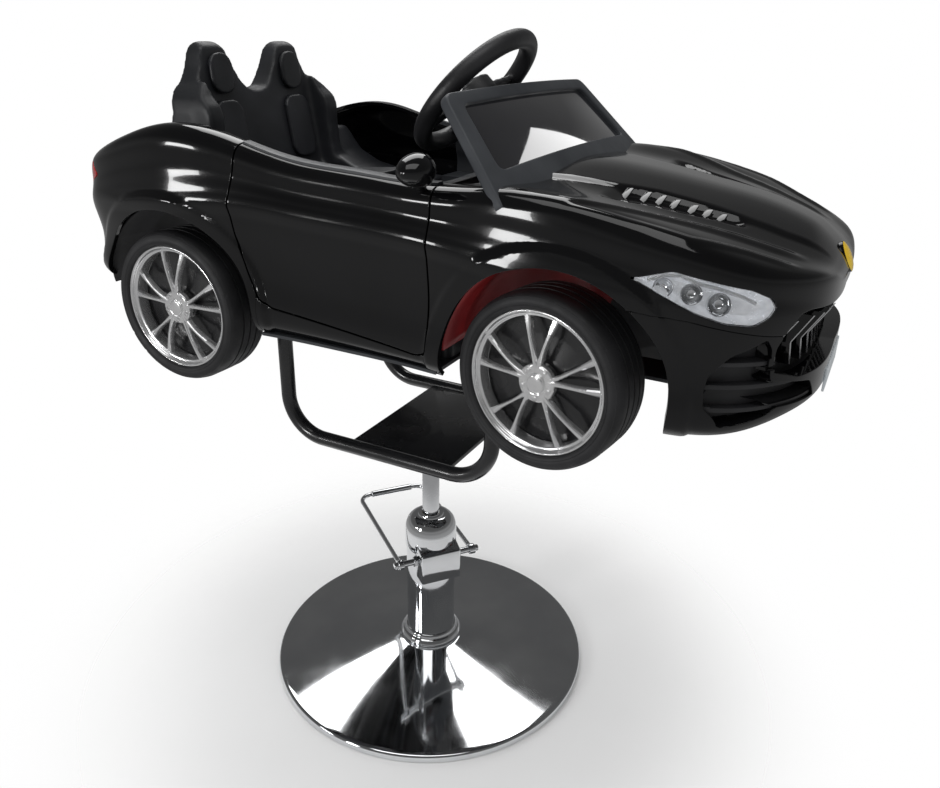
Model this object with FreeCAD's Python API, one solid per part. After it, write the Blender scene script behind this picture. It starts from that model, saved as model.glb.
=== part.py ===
import FreeCAD, Part
import math
import os
from FreeCAD import Vector

# A children's barber chair: a pump pedestal on a round base carries a small roadster body as its seat.
# +X is the front of the car, +Y its left side, +Z up. The origin is the centre of the base, on the floor.

# Clearances and overruns, in millimetres like every length here
overrun = 20.0
long_overrun = 100.0
near_zero = 0.001
running_gap = 0.05
seat_gap = 0.3
corner_room_share = 0.45
panel_gap = 2.4

# Round base
base_radius = 305.0
mat_radius = 296.0
mat_height = 3.0
cover_wall = 2.5
cover_rim_low = 2.0
cover_rim_top = 15.0
cover_rim_roll = 6.0
cover_top = 40.0
cover_sag = 5.0
ballast_radius = 284.0
ballast_edge_top = 10.0
ballast_hub_radius = 56.0
ballast_top = 30.0
collar_radius = 60.0
collar_height = 23.0

# Pump column
sleeve_radius = 47.0
sleeve_wall = 3.0
sleeve_top = 258.0
cap_radius = 49.0
cap_lap = 8.0
cap_shoulder = 284.0
cap_top = 318.0
cap_neck_radius = 25.0
cap_wall = 3.0
cylinder_radius = 23.6
cylinder_bore = 20.6
cylinder_floor = 6.0
cylinder_top = 280.0
guide_radius = 22.0
guide_flange_radius = 23.5
guide_flange = 4.0
rod_radius = 16.0
rod_foot = 150.0
rod_top = 500.0
piston_height = 22.0

# Pump block, its cross shaft and the foot bail
lever_angle = 51.1
lever_setback = 30.0
lever_height = 235.0
block_half_width = 39.0
block_front = 57.0
block_back = 12.0
block_low = 197.0
block_front_top = 257.0
block_back_top = 272.0
block_edge = 4.0
shaft_radius = 6.0
shaft_half_length = 86.0
bail_half_width = 73.0
bail_reach = 269.0
bail_rod_radius = 4.5
bail_grip_radius = 6.5
bail_bend = 26.0
bail_eye_radius = 10.0
bail_eye_width = 11.0

# Swivel hub, cross plate and tube loops
hub_radius = 30.0
hub_low = 430.0
hub_bore_top = 502.0
hub_flange_radius = 48.0
hub_flange = 6.0
plate_thick = 8.0
plate_mid = 510.0
plate_rear = -75.0
plate_front = 116.0
loop_radius = 12.5
loop_spread = 152.0
loop_half_length = 196.0
loop_bend = 70.0
loop_top = 733.7
foot_length = 64.0
foot_inner_y = 118.0
foot_outer_y = 164.5
foot_thick = 4.0
bolt_radius = 3.0
bolt_head_radius = 5.5
bolt_head = 4.0
bolt_spacing = 46.0
bolt_y = 130.0
bolt_length = 17.0

# Wheels, their centres and the arches
wheel_rear_x = -299.0
wheel_front_x = 329.0
wheel_z = 754.0
wheel_outer_y = 290.0
tyre_radius = 120.0
tyre_width = 85.0
tyre_crown = 7.0
rim_radius = 98.0
rim_lip = 7.0
rim_wall = 5.0
rim_inset = 6.0
rim_disc_setback = 26.0
rim_disc_thick = 5.0
rim_hub_radius = 15.0
spoke_pairs = 5
spoke_pair_angle = 13.0
spoke_root_radius = 24.0
spoke_root_width = 8.0
spoke_tip_width = 6.0
spoke_depth = 7.0
cap_disc_radius = 15.0
cap_disc_height = 9.0
lug_radius = 3.5
lug_circle = 20.5
axle_radius = 6.0
axle_end_y = wheel_outer_y - rim_inset - cap_disc_height - seat_gap
arch_radius = 155.0
liner_wall = 3.0
liner_inner_y = 150.0
liner_outer_y = 268.0
liner_window = 62.0
liner_low = 768.0

# Steering gear
steer_rest_angle = -7.6
steer_ratio = -0.3
kingpin_y = 178.0
kingpin_radius = 4.0
knuckle_radius = 10.0
knuckle_half_height = 15.0
ear_thick = 6.0
beam_depth = 26.0
beam_height = 18.0
beam_half_width = 150.0
cheek_inner_y = 148.0
cheek_outer_y = 166.0
ear_outer_y = 188.0
arm_length = 45.0
arm_width = 16.0
arm_thick = 5.0
tie_radius = 5.0
tie_rise = 22.0
tie_pin_radius = 3.0
tie_hole_radius = 6.5
fork_gap = 6.8
fork_thick = 4.0
fork_rear = 10.0
fork_front = 52.0
fork_top = 866.0
fork_relief = 3.0
column_tilt = 42.6
ring_x = 78.0
ring_z = 1077.0
ring_radius = 103.0
ring_tube_radius = 14.0
ring_hub_radius = 30.0
ring_hub_height = 26.0
ring_spoke_width = 22.0
ring_spoke_thick = 9.0
ring_spoke_angles = (-15.0, 195.0, 270.0)
horn_radius = 19.0
horn_height = 7.0
horn_travel = 2.0
column_radius = 7.0
column_length = 320.0
crank_radius = 13.5
crank_disc_radius = 19.0
crank_disc = 5.0
crank_pin_radius = 3.0
crank_pin_length = 26.0
boss_radius = 15.0
boss_start = 62.0
boss_end = 150.0

# Car body: the box that its shares are taken of
body_tail = -520.0
body_length = 1168.0
body_half_width = 295.0
body_belly = 700.0
body_height = 330.0
body_wall = 4.0
sill_tuck = 18.0
side_hollow = 11.0
side_tumble = 22.0
bonnet_valley = 5.0
# Each station holds shares of the body box: along it, half width, underside, waist line, crest and top
station_shares = (
    (0.002, 0.46, 0.318, 0.515, 0.640, 0.672),
    (0.010, 0.66, 0.297, 0.545, 0.700, 0.723),
    (0.022, 0.80, 0.279, 0.576, 0.750, 0.784),
    (0.043, 0.905, 0.261, 0.606, 0.812, 0.834),
    (0.080, 0.962, 0.242, 0.630, 0.876, 0.890),
    (0.130, 0.987, 0.212, 0.655, 0.940, 0.947),
    (0.188, 1.0, 0.176, 0.673, 0.991, 0.988),
    (0.248, 0.99, 0.145, 0.685, 0.990, 0.996),
    (0.317, 0.963, 0.130, 0.691, 0.935, 0.954),
    (0.394, 0.946, 0.124, 0.673, 0.884, 0.911),
    (0.480, 0.946, 0.118, 0.658, 0.866, 0.893),
    (0.556, 0.959, 0.112, 0.645, 0.852, 0.884),
    (0.616, 0.983, 0.106, 0.630, 0.862, 0.888),
    (0.676, 0.997, 0.097, 0.606, 0.874, 0.890),
    (0.728, 1.0, 0.088, 0.582, 0.856, 0.874),
    (0.779, 0.995, 0.079, 0.558, 0.826, 0.850),
    (0.822, 0.980, 0.070, 0.539, 0.793, 0.826),
    (0.865, 0.945, 0.061, 0.521, 0.755, 0.800),
    (0.899, 0.895, 0.062, 0.509, 0.718, 0.772),
    (0.929, 0.820, 0.080, 0.497, 0.683, 0.738),
    (0.955, 0.705, 0.110, 0.485, 0.655, 0.698),
    (0.974, 0.575, 0.135, 0.476, 0.630, 0.655),
    (0.984, 0.450, 0.148, 0.467, 0.602, 0.615),
    (0.9885, 0.33, 0.155, 0.455, 0.572, 0.585),
)
# Heights of the rocker and of the hollow between the underside and the waist line
rocker_height_share = 0.16
hollow_height_share = 0.55
valley_side_share = 0.62
flank_tumble_share = 0.3

# Door, cockpit and sill lines
door_shares = ((0.5815, 0.925), (0.5775, 0.42), (0.575, 0.193), (0.562, 0.176), (0.350, 0.252),
               (0.333, 0.285), (0.318, 0.40), (0.3045, 0.56), (0.3025, 0.70), (0.310, 0.86), (0.318, 1.10),
               (0.5815, 1.10))
door_corner = 5.0
door_side_y = 205.0
trim_split_y = 258.0
trim_proud = 2.5
trim_wall = 9.0
trim_low = 800.0
trim_high = 955.0
ledge_top = 912.0
ledge_thick = 14.0
ledge_inner_y = 206.0
ledge_rear = -96.0
ledge_front = 108.0
cockpit_rear = -438.0
cockpit_front = 236.0
cockpit_half_width = 243.0
cockpit_corner = 16.0
sill_top_share = 0.36
sill_rear = -137.0
sill_front = 150.0

# Door hinge, set back from the door's front edge
hinge_setback = 30.0
hinge_x = body_tail + door_shares[1][0] * body_length - hinge_setback
hinge_y = 264.0
hinge_pin_radius = 3.0
hinge_barrel_radius = 6.5
hinge_low_z = 785.0
hinge_high_z = 850.0
hinge_height = 22.0
hinge_ear = 5.0
hinge_ear_radius = 4.2
hinge_reach = 52.0

# Door mirror
mirror_x = 154.0
mirror_y = 303.0
mirror_z = 1006.0
mirror_length = 36.0
mirror_width = 52.0
mirror_height = 40.0
mirror_edge = 11.0
mirror_stalk_radius = 6.0
mirror_root_z = 964.0

# Bumper, lamps, grille, plate and badge
bumper_shares = ((0.80, -0.2), (0.80, 0.525), (0.871, 0.50), (0.887, 0.487), (0.942, 0.447), (1.05, 0.40),
                 (1.05, -0.2))
intake_shares = ((0.871, 0.306), (0.847, 0.379), (0.776, 0.439), (0.746, 0.397), (0.722, 0.270),
                 (0.508, 0.234), (0.441, 0.158), (0.695, 0.167), (0.719, 0.145), (0.769, 0.130),
                 (0.858, 0.103), (0.885, 0.179))
intake_start_share = 0.85
intake_wall = 3.0
intake_fin_count = 3
intake_fin_thick = 4.0
intake_depth = 26.0
lamp_shares = ((0.810, 0.636), (0.848, 0.670), (0.921, 0.615), (0.9375, 0.585), (0.942, 0.552),
               (0.9375, 0.518), (0.9255, 0.491), (0.901, 0.50), (0.876, 0.530), (0.848, 0.576),
               (0.828, 0.609))
lamp_corner = 3.0
lamp_gap = 0.6
lens_wall = 3.0
lamp_depth = 22.0
lamp_inner_y = 120.0
tail_lamp_shares = ((0.42, 0.62), (0.86, 0.66), (0.93, 0.74), (0.90, 0.80), (0.48, 0.74), (0.40, 0.69))
tail_lamp_front = -400.0
grille_shares = ((-0.60, 0.27), (0.60, 0.27), (0.735, 0.40), (0.64, 0.55), (0.0, 0.578), (-0.64, 0.55),
                 (-0.735, 0.40))
grille_room_share = 0.94
grille_ring_share = 0.945
grille_frame_width = 7.0
grille_setback = 12.0
slat_corners = 5
slat_count = 15
slat_pitch = 27.3
slat_thick = 4.0
slat_depth = 11.0
slat_setback = 3.0
slat_kink = 10.0
slat_kink_share = 0.35
slat_nose_share = 0.9
number_plate_width = 150.0
number_plate_height = 62.0
number_plate_thick = 3.0
number_plate_z = 783.0
number_plate_x = 646.0
plate_bracket_width = 60.0
badge_length = 60.0
badge_height = 32.0
badge_thick = 4.0
badge_x = 632.0
badge_z = 898.0
badge_tilt = 55.0

# Windscreen: its outer corners and the width of its frame
screen_base_x = 238.0
screen_base_z = 980.0
screen_base_y = 280.0
screen_top_x = 144.0
screen_top_z = 1082.0
screen_top_y = 235.0
screen_thick = 14.0
pillar_width = 30.0
header_width = 22.0
base_rail_width = 22.0
screen_corner = 16.0
pane_thick = 4.0
pane_lap = 4.0

# Floor pan, tub and dashboard
pan_low = 734.0
pan_thick = 5.0
pan_rear = -440.0
pan_front = 560.0
pan_waist_y = 146.0
pan_waist_run = 162.0
pan_nose_y = 200.0
tub_wall = 4.0
tub_floor = 739.0
tub_front = 163.0
tub_rear = -101.0
tub_half_width = 232.0
tub_side_top = 792.0
tub_front_top = 890.0
dash_wall = 5.0
dash_half_width = 218.0
dash_low = 890.3
dash_shares = ((0.0, 0.0), (0.06, 1.0), (0.30, 1.14), (0.48, 1.02), (1.0, 0.86))
dash_rear = 128.0
dash_front = 246.0
dash_top = 978.0
axle_block_height = 34.0
axle_block_width = 24.0
axle_block_y = 120.0

# Moulded seat: side profile and back outline, as shares of the seat's box
seat_rear = -432.0
seat_length = 330.0
seat_low = 745.0
seat_height = 395.0
seat_half_width = 168.0
seat_base_half_width = 144.0
seat_waist_z = 926.0
seat_side_shares = ((0.20, -0.014), (1.0, -0.014), (1.0, 0.4405), (0.97, 0.456), (0.42, 0.415),
                    (0.3455, 0.47), (0.306, 0.65), (0.262, 0.85), (0.2455, 0.98), (0.20, 1.0),
                    (0.1455, 0.985), (0.14, 0.83), (0.16, 0.72), (0.10, 0.62), (0.04, 0.50),
                    (0.02, 0.47), (0.06, 0.20))
seat_back_shares = ((0.0, 0.80), (0.15, 0.812), (0.226, 0.85), (0.304, 0.90), (0.375, 0.965), (0.46, 1.0),
                    (0.64, 1.0), (0.70, 0.975), (0.756, 0.90), (0.82, 0.85), (0.90, 0.822), (0.975, 0.79),
                    (1.0, 0.74), (1.0, 0.46), (0.857, 0.44), (0.857, 0.0), (0.0, 0.0))
seat_wing_shares = ((1.0, 0.398), (1.0, 0.414), (0.75, 0.423), (0.55, 0.454), (0.42, 0.506), (0.32, 0.61),
                    (0.16, 0.61), (0.16, 0.465), (0.515, 0.43), (0.70, 0.408))
seat_wing_inner_y = 140.0
seat_wing_half_width = 235.0
seat_bolster_shares = ((0.175, 0.443), (0.4515, 0.443), (0.424, 0.544), (0.409, 0.646), (0.409, 0.72),
                       (0.391, 0.76), (0.3455, 0.80), (0.309, 0.85), (0.175, 0.85))
seat_bolster_inner_y = 134.0
seat_bolster_outer_y = 167.0
seat_apron = 6.0
seat_corner = 14.0
seat_axle_hole = 12.0
seat_shell_wall = 6.0
pad_offset_y = 87.0
head_pad_width = 50.0
head_pad_low = 1060.0
head_pad_high = 1122.0
back_pad_width = 62.0
back_pad_low = 945.0
back_pad_high = 1050.0
pad_rear = -372.0
pad_front = -267.0
pad_thick = 9.0
pad_corner = 22.0
cushion_rear = -292.0
cushion_front = -118.0
cushion_width = 236.0
cushion_thick = 12.0
cushion_low = 880.0
cushion_high = 950.0

up = Vector(0, 0, 1)
side = Vector(0, 1, 0)
ahead = Vector(1, 0, 0)
origin = Vector(0, 0, 0)


def export(shape, node):
    """Write one node's solid, or group of solids, to its own file."""
    os.makedirs("parts", exist_ok=True)
    shape.exportStep("parts/" + node + ".step")
    print(node, len(shape.Solids), round(shape.Volume))


def group(shapes):
    """Separate solids that share one node."""
    solids = []
    for shape in shapes:
        solids.extend(shape.Solids)
    return Part.Compound(solids)


def fuse(shapes):
    """Join shapes into one."""
    solids = [solid for shape in shapes for solid in shape.Solids]
    return solids[0].multiFuse(solids[1:]) if len(solids) > 1 else solids[0]


def mirrored(shape):
    """The same piece on the other side of the car."""
    return shape.mirror(origin, side)


def box(low, high):
    """A box between two corners."""
    size = [b - a for a, b in zip(low, high)]
    return Part.makeBox(size[0], size[1], size[2], Vector(*low))


def rod(start, direction, radius, length):
    """A round bar that starts at a point."""
    return Part.makeCylinder(radius, length, start, direction)


def tube(outer, inner, low, high):
    """A ring on the column's axis, between two heights."""
    ring = rod(Vector(0, 0, low), up, outer, high - low)
    return ring.cut(rod(Vector(0, 0, low - overrun), up, inner, high - low + 2 * overrun))


def rounded(points, radius, place):
    """A closed face through corner points, each corner rounded by an arc that its sides have room for."""
    corners = [Vector(a, b, 0) for a, b in points]
    edges = []
    ends = []
    count = len(corners)
    for i in range(count):
        here = corners[i]
        back = corners[i - 1] - here
        onward = corners[(i + 1) % count] - here
        room = min(back.Length, onward.Length)
        half = back.getAngle(onward) / 2
        cut = min(radius / max(math.tan(half), near_zero), corner_room_share * room)
        first = here + back * (cut / back.Length)
        last = here + onward * (cut / onward.Length)
        bend = cut * math.tan(half)
        middle_way = (back.normalize() + onward.normalize()).normalize()
        middle = here + middle_way * (bend / math.sin(half) - bend)
        ends.append((first, middle, last))
    for i in range(count):
        first, middle, last = ends[i]
        if (middle - (first + last) / 2).Length > near_zero:
            edges.append(Part.Arc(place(first), place(middle), place(last)).toShape())
        else:
            edges.append(Part.LineSegment(place(first), place(last)).toShape())
        nxt = ends[(i + 1) % count][0]
        edges.append(Part.LineSegment(place(last), place(nxt)).toShape())
    return Part.Face(Part.Wire(Part.__sortEdges__(edges)))


def prism_y(points, radius, low, high):
    """An outline in X and Z, drawn out along Y."""
    face = rounded(points, radius, lambda p: Vector(p.x, low, p.y))
    return face.extrude(side * (high - low))


def prism_x(points, radius, low, high):
    """An outline in Y and Z, drawn out along X."""
    face = rounded(points, radius, lambda p: Vector(low, p.x, p.y))
    return face.extrude(ahead * (high - low))


def prism_z(points, radius, low, high):
    """An outline in X and Y, drawn out along Z."""
    face = rounded(points, radius, lambda p: Vector(p.x, p.y, low))
    return face.extrude(up * (high - low))


def turned(edges):
    """A ring swept round the column's axis from a closed outline of edges in radius and height."""
    return Part.Face(Part.Wire(edges)).revolve(origin, up, 360)


def line(a, b):
    """A straight edge between two (radius, height) points."""
    return Part.LineSegment(Vector(a[0], 0, a[1]), Vector(b[0], 0, b[1])).toShape()


def arc(a, m, b):
    """An arc edge through three (radius, height) points."""
    return Part.Arc(Vector(a[0], 0, a[1]), Vector(m[0], 0, m[1]), Vector(b[0], 0, b[1])).toShape()


def softened(shape, radius):
    """Round every edge of a shape."""
    return shape.makeFillet(radius, shape.Edges)


def swept(path, radius):
    """A round bar along a wire."""
    edge = path.OrderedEdges[0]
    start = edge.valueAt(edge.FirstParameter)
    way = edge.tangentAt(edge.FirstParameter)
    profile = Part.Wire(Part.Circle(start, way, radius).toShape())
    return path.makePipeShell([profile], True, False)


def bent_path(points, radius):
    """Straight runs through corner points, joined by tangent arcs of one radius."""
    edges = []
    start = points[0]
    for i in range(1, len(points) - 1):
        here = points[i]
        back = (points[i - 1] - here).normalize()
        onward = (points[i + 1] - here).normalize()
        half = back.getAngle(onward) / 2
        cut = radius / math.tan(half)
        first = here + back * cut
        last = here + onward * cut
        middle_way = (back + onward).normalize()
        middle = here + middle_way * (radius / math.sin(half) - radius)
        edges.append(Part.LineSegment(start, first).toShape())
        edges.append(Part.Arc(first, middle, last).toShape())
        start = last
    edges.append(Part.LineSegment(start, points[-1]).toShape())
    return Part.Wire(edges)


def base_cover_line(drop):
    """The base cover's outline from rim to column, lowered by the sheet's thickness."""
    rim = (base_radius - cover_rim_roll, cover_rim_top - drop)
    top = (collar_radius, cover_top - drop)
    middle = ((rim[0] + top[0]) / 2, (rim[1] + top[1]) / 2 - cover_sag)
    return rim, middle, top


def make_base():
    """The floor mat, the ballast disc, the trumpet-shaped cover and the collar at the column's foot."""
    mat = rod(origin, up, mat_radius, mat_height)
    export(mat, "floor_gasket")

    hub = rod(Vector(0, 0, mat_height), up, ballast_hub_radius, ballast_top - mat_height)
    disc = rod(Vector(0, 0, mat_height), up, ballast_radius, ballast_edge_top - mat_height)
    cone = Part.makeCone(ballast_radius, ballast_hub_radius, ballast_top - ballast_edge_top - cover_sag,
                         Vector(0, 0, ballast_edge_top), up)
    rim, middle, top = base_cover_line(cover_wall + seat_gap)
    room = turned([line((0, 0), (rim[0], 0)), line((rim[0], 0), rim), arc(rim, middle, top),
                   line(top, (0, top[1])), line((0, top[1]), (0, 0))])
    export(fuse([hub, disc, cone]).common(room), "base_ballast")

    rim, middle, top = base_cover_line(0)
    low_rim, low_middle, low_top = base_cover_line(cover_wall)
    foot = (base_radius, cover_rim_low)
    bore = sleeve_radius + seat_gap
    wall_foot = (base_radius - cover_wall, cover_rim_low)
    roll = (base_radius, cover_rim_top - cover_rim_roll)
    roll_share = math.cos(math.pi / 4)
    roll_middle = (rim[0] + cover_rim_roll * roll_share, roll[1] + cover_rim_roll * roll_share)
    inside = (base_radius - cover_wall, low_rim[1] - cover_rim_roll)
    inner_middle = (low_rim[0] + (cover_rim_roll - cover_wall) * roll_share,
                    inside[1] + cover_rim_roll * roll_share)
    cover = turned([line(foot, roll), arc(roll, roll_middle, rim), arc(rim, middle, top),
                    line(top, (bore, top[1])), line((bore, top[1]), (bore, low_top[1])),
                    line((bore, low_top[1]), low_top), arc(low_top, low_middle, low_rim),
                    arc(low_rim, inner_middle, inside), line(inside, wall_foot), line(wall_foot, foot)])
    export(cover, "base_cover")

    inner = sleeve_radius + seat_gap
    high = cover_top + collar_height
    bulge = (collar_radius, cover_top + collar_height / 2)
    collar = turned([line((inner, cover_top), (collar_radius - cover_wall, cover_top)),
                     arc((collar_radius - cover_wall, cover_top), bulge, (inner + cover_wall, high)),
                     line((inner + cover_wall, high), (inner, high)),
                     line((inner, high), (inner, cover_top))])
    export(collar, "base_collar")


def lever_frame():
    """Directions of the pump lever: along its cross shaft, and from the shaft towards the foot grip."""
    angle = math.radians(lever_angle)
    along = Vector(math.cos(angle), math.sin(angle), 0)
    reach = Vector(-math.sin(angle), math.cos(angle), 0)
    shaft = reach * -lever_setback + up * lever_height
    return along, reach, shaft


def make_column():
    """The chrome sleeve, its shoulder cap, the pump block and the cylinder and bush inside."""
    along, reach, shaft = lever_frame()
    sleeve = tube(sleeve_radius, sleeve_radius - sleeve_wall, ballast_top, sleeve_top)
    shaft_way = rod(shaft - along * shaft_half_length, along, shaft_radius + seat_gap, 2 * shaft_half_length)
    export(sleeve.cut(shaft_way), "pump_sleeve")

    low = sleeve_top - cap_lap
    skirt = sleeve_radius + seat_gap
    shoulder_middle = (cap_radius - cap_wall, cap_shoulder + (cap_top - cap_shoulder) / 2)
    neck = guide_radius
    inner_shoulder = cap_shoulder - cap_wall
    bore = sleeve_radius - sleeve_wall
    outline = [line((skirt, low), (cap_radius, low)), line((cap_radius, low), (cap_radius, cap_shoulder)),
               arc((cap_radius, cap_shoulder), shoulder_middle, (cap_neck_radius, cap_top)),
               line((cap_neck_radius, cap_top), (neck, cap_top)),
               line((neck, cap_top), (neck, inner_shoulder)),
               line((neck, inner_shoulder), (bore, inner_shoulder)),
               line((bore, inner_shoulder), (bore, sleeve_top)),
               line((bore, sleeve_top), (skirt, sleeve_top)),
               line((skirt, sleeve_top), (skirt, low))]
    export(turned(outline), "pump_cap")

    guide = tube(guide_radius - running_gap, rod_radius + running_gap, cylinder_top, cap_top)
    flange = tube(guide_flange_radius, rod_radius + running_gap, cylinder_top - guide_flange, cylinder_top)
    export(fuse([guide, flange]), "rod_guide")

    cylinder = tube(cylinder_radius, cylinder_bore, ballast_top, cylinder_top - guide_flange)
    floor = rod(Vector(0, 0, ballast_top), up, cylinder_bore, cylinder_floor)
    export(fuse([cylinder, floor]), "inner_cylinder")

    profile = [(-block_front, block_low), (-block_front, block_front_top), (-block_back, block_back_top),
               (-block_back, block_low)]
    place = lambda p: reach * p.x + up * p.y - along * block_half_width
    block = rounded(profile, block_edge, place).extrude(along * (2 * block_half_width))
    block = block.cut(rod(origin, up, cap_radius + seat_gap, cap_top))
    seat = tube(cap_radius + overrun, sleeve_radius + seat_gap, block_low - overrun, low - seat_gap)
    lug = rounded(profile, block_edge, place).extrude(along * (2 * block_half_width)).common(seat)
    block = fuse([block, lug])
    bore = rod(shaft - along * shaft_half_length, along, shaft_radius + running_gap, 2 * shaft_half_length)
    export(block.cut(bore), "pump_housing")


def make_lever():
    """The cross shaft with its pin ends, and the bent rod that the foot presses."""
    along, reach, shaft = lever_frame()
    pin = rod(shaft - along * shaft_half_length, along, shaft_radius, 2 * shaft_half_length)
    export(pin, "lever_shaft")

    inside_eye = (shaft_radius + bail_eye_radius) / 2
    corners = [shaft - along * bail_half_width + reach * inside_eye,
               shaft - along * bail_half_width + reach * bail_reach,
               shaft + along * bail_half_width + reach * bail_reach,
               shaft + along * bail_half_width + reach * inside_eye]
    bail = swept(bent_path(corners, bail_bend), bail_rod_radius)
    grip_half = bail_half_width - bail_bend
    grip = rod(shaft + reach * bail_reach - along * grip_half, along, bail_grip_radius, 2 * grip_half)
    pieces = [bail, grip]
    for sign in (-1, 1):
        start = shaft + along * (sign * bail_half_width - bail_eye_width / 2)
        pieces.append(rod(start, along, bail_eye_radius, bail_eye_width))
    start = shaft - along * 2 * shaft_half_length
    bore = rod(start, along, shaft_radius + running_gap, 4 * shaft_half_length)
    export(fuse(pieces).cut(bore), "lever_bail")


def make_lift():
    """The rising rod with the piston on its foot."""
    export(rod(Vector(0, 0, rod_foot), up, rod_radius, rod_top - rod_foot), "piston_rod")
    bore = rod_radius + running_gap / 2
    head = tube(cylinder_bore - running_gap, bore, rod_foot, rod_foot + piston_height)
    export(head, "piston_head")


def bolt_places():
    """Where the bolts come up through the loops' feet."""
    steps = (-bolt_spacing / 2, bolt_spacing / 2)
    return [(foot + step, y) for foot in (-loop_half_length, loop_half_length) for step in steps
            for y in (-bolt_y, bolt_y)]


def make_frame():
    """The swivel hub, the cross plate, the two tube loops with their feet, and the bolts."""
    plate_low = plate_mid - plate_thick / 2
    hub = rod(Vector(0, 0, hub_low), up, hub_radius, plate_low - hub_low)
    flange = rod(Vector(0, 0, plate_low - hub_flange), up, hub_flange_radius, hub_flange)
    depth = hub_bore_top - hub_low + overrun
    bore = rod(Vector(0, 0, hub_low - overrun), up, rod_radius + running_gap, depth)
    export(fuse([hub, flange]).cut(bore), "hub_socket")

    half = loop_spread - loop_radius
    export(box((plate_rear, -half, plate_low), (plate_front, half, plate_low + plate_thick)), "cross_plate")

    top = loop_top - foot_thick
    run = [(-loop_half_length, top), (-loop_half_length, plate_mid), (loop_half_length, plate_mid),
           (loop_half_length, top)]
    corners = [Vector(x, loop_spread, z) for x, z in run]
    pieces = [swept(bent_path(corners, loop_bend), loop_radius)]
    for x in (-loop_half_length, loop_half_length):
        pieces.append(box((x - foot_length / 2, foot_inner_y, top),
                          (x + foot_length / 2, foot_outer_y, loop_top)))
    holes = []
    bolts = []
    for x, y in bolt_places():
        holes.append(rod(Vector(x, y, top - overrun), up, bolt_radius + running_gap, 2 * overrun))
        head = rod(Vector(x, y, top - bolt_head), up, bolt_head_radius, bolt_head)
        shank = rod(Vector(x, y, top), up, bolt_radius, bolt_length)
        bolts.append(fuse([head, shank]))
    loop = fuse(pieces).cut(holes)
    export(loop, "tube_loop_left")
    export(mirrored(loop), "tube_loop_right")
    export(group(bolts), "foot_bolts")


def body_x(share):
    """A place along the body from its share of the length."""
    return body_tail + share * body_length


def body_z(share):
    """A height on the body from its share of the height."""
    return body_belly + share * body_height


def body_section(station, inset, drop):
    """One cross-section of the body, its outline moved in by the inset and its underside lowered."""
    x_share, half_share, under_share, waist_share, crest_share, top_share = station
    middle_x = body_tail + body_length / 2
    x = middle_x + (body_x(x_share) - middle_x) * (1 - 2 * inset / body_length)
    half = body_half_width * half_share
    taper = half_share
    under = body_z(under_share)
    waist = body_z(waist_share)
    crest = body_z(crest_share) - inset
    top = body_z(top_share) - inset
    tumble = side_tumble * taper
    shoulder = half - tumble - inset
    right = [(half - sill_tuck * taper - inset, under - drop),
             (half - flank_tumble_share * sill_tuck * taper - inset,
              under + rocker_height_share * (waist - under)),
             (half - side_hollow * taper - inset, under + hollow_height_share * (waist - under)),
             (half - inset, waist),
             (half - flank_tumble_share * tumble - inset, (waist + crest) / 2),
             (shoulder, crest),
             (valley_side_share * shoulder, (crest + top) / 2 - bonnet_valley * taper)]
    outline = [Vector(x, -y, z) for y, z in right] + [Vector(x, 0, top)]
    outline += [Vector(x, y, z) for y, z in reversed(right)]
    steps = [float(i) for i in range(len(outline))]
    curve = Part.BSplineCurve()
    curve.interpolate(Points=outline, Parameters=steps)
    floor = Part.LineSegment(outline[-1], outline[0]).toShape()
    return Part.Wire([curve.toShape(), floor])


def body_volume(inset, drop=0.0):
    """The body's whole volume, its skin moved in by the inset."""
    sections = [body_section(station, inset, drop) for station in station_shares]
    return Part.makeLoft(sections, True, False)


def share_points(shares):
    """Points of a side outline from shares of the body's length and height."""
    return [(body_x(a), body_z(b)) for a, b in shares]


def side_prism(shares, corner, low, high, growth=0.0):
    """A side outline drawn out along Y between two distances from the middle, grown by a clearance."""
    face = rounded(share_points(shares), corner, lambda p: Vector(p.x, low, p.y))
    if growth:
        face = Part.Face(face.OuterWire.makeOffset2D(growth))
    return face.extrude(side * (high - low))


def wheel_places():
    """Names and centres of the four wheels."""
    return [("rear_right", wheel_rear_x, -1), ("rear_left", wheel_rear_x, 1),
            ("front_right", wheel_front_x, -1), ("front_left", wheel_front_x, 1)]


def arch_cut(radius, low, high):
    """Round wheel openings through the body, at both axles."""
    cuts = []
    for x in (wheel_rear_x, wheel_front_x):
        cuts.append(rod(Vector(x, low, wheel_z), side, radius, high - low))
    return cuts


def cockpit_cut():
    """The open top of the cockpit."""
    corners = [(cockpit_rear, -cockpit_half_width), (cockpit_front, -cockpit_half_width),
               (cockpit_front, cockpit_half_width), (cockpit_rear, cockpit_half_width)]
    return prism_z(corners, cockpit_corner, tub_floor, body_z(1) + long_overrun)


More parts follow.
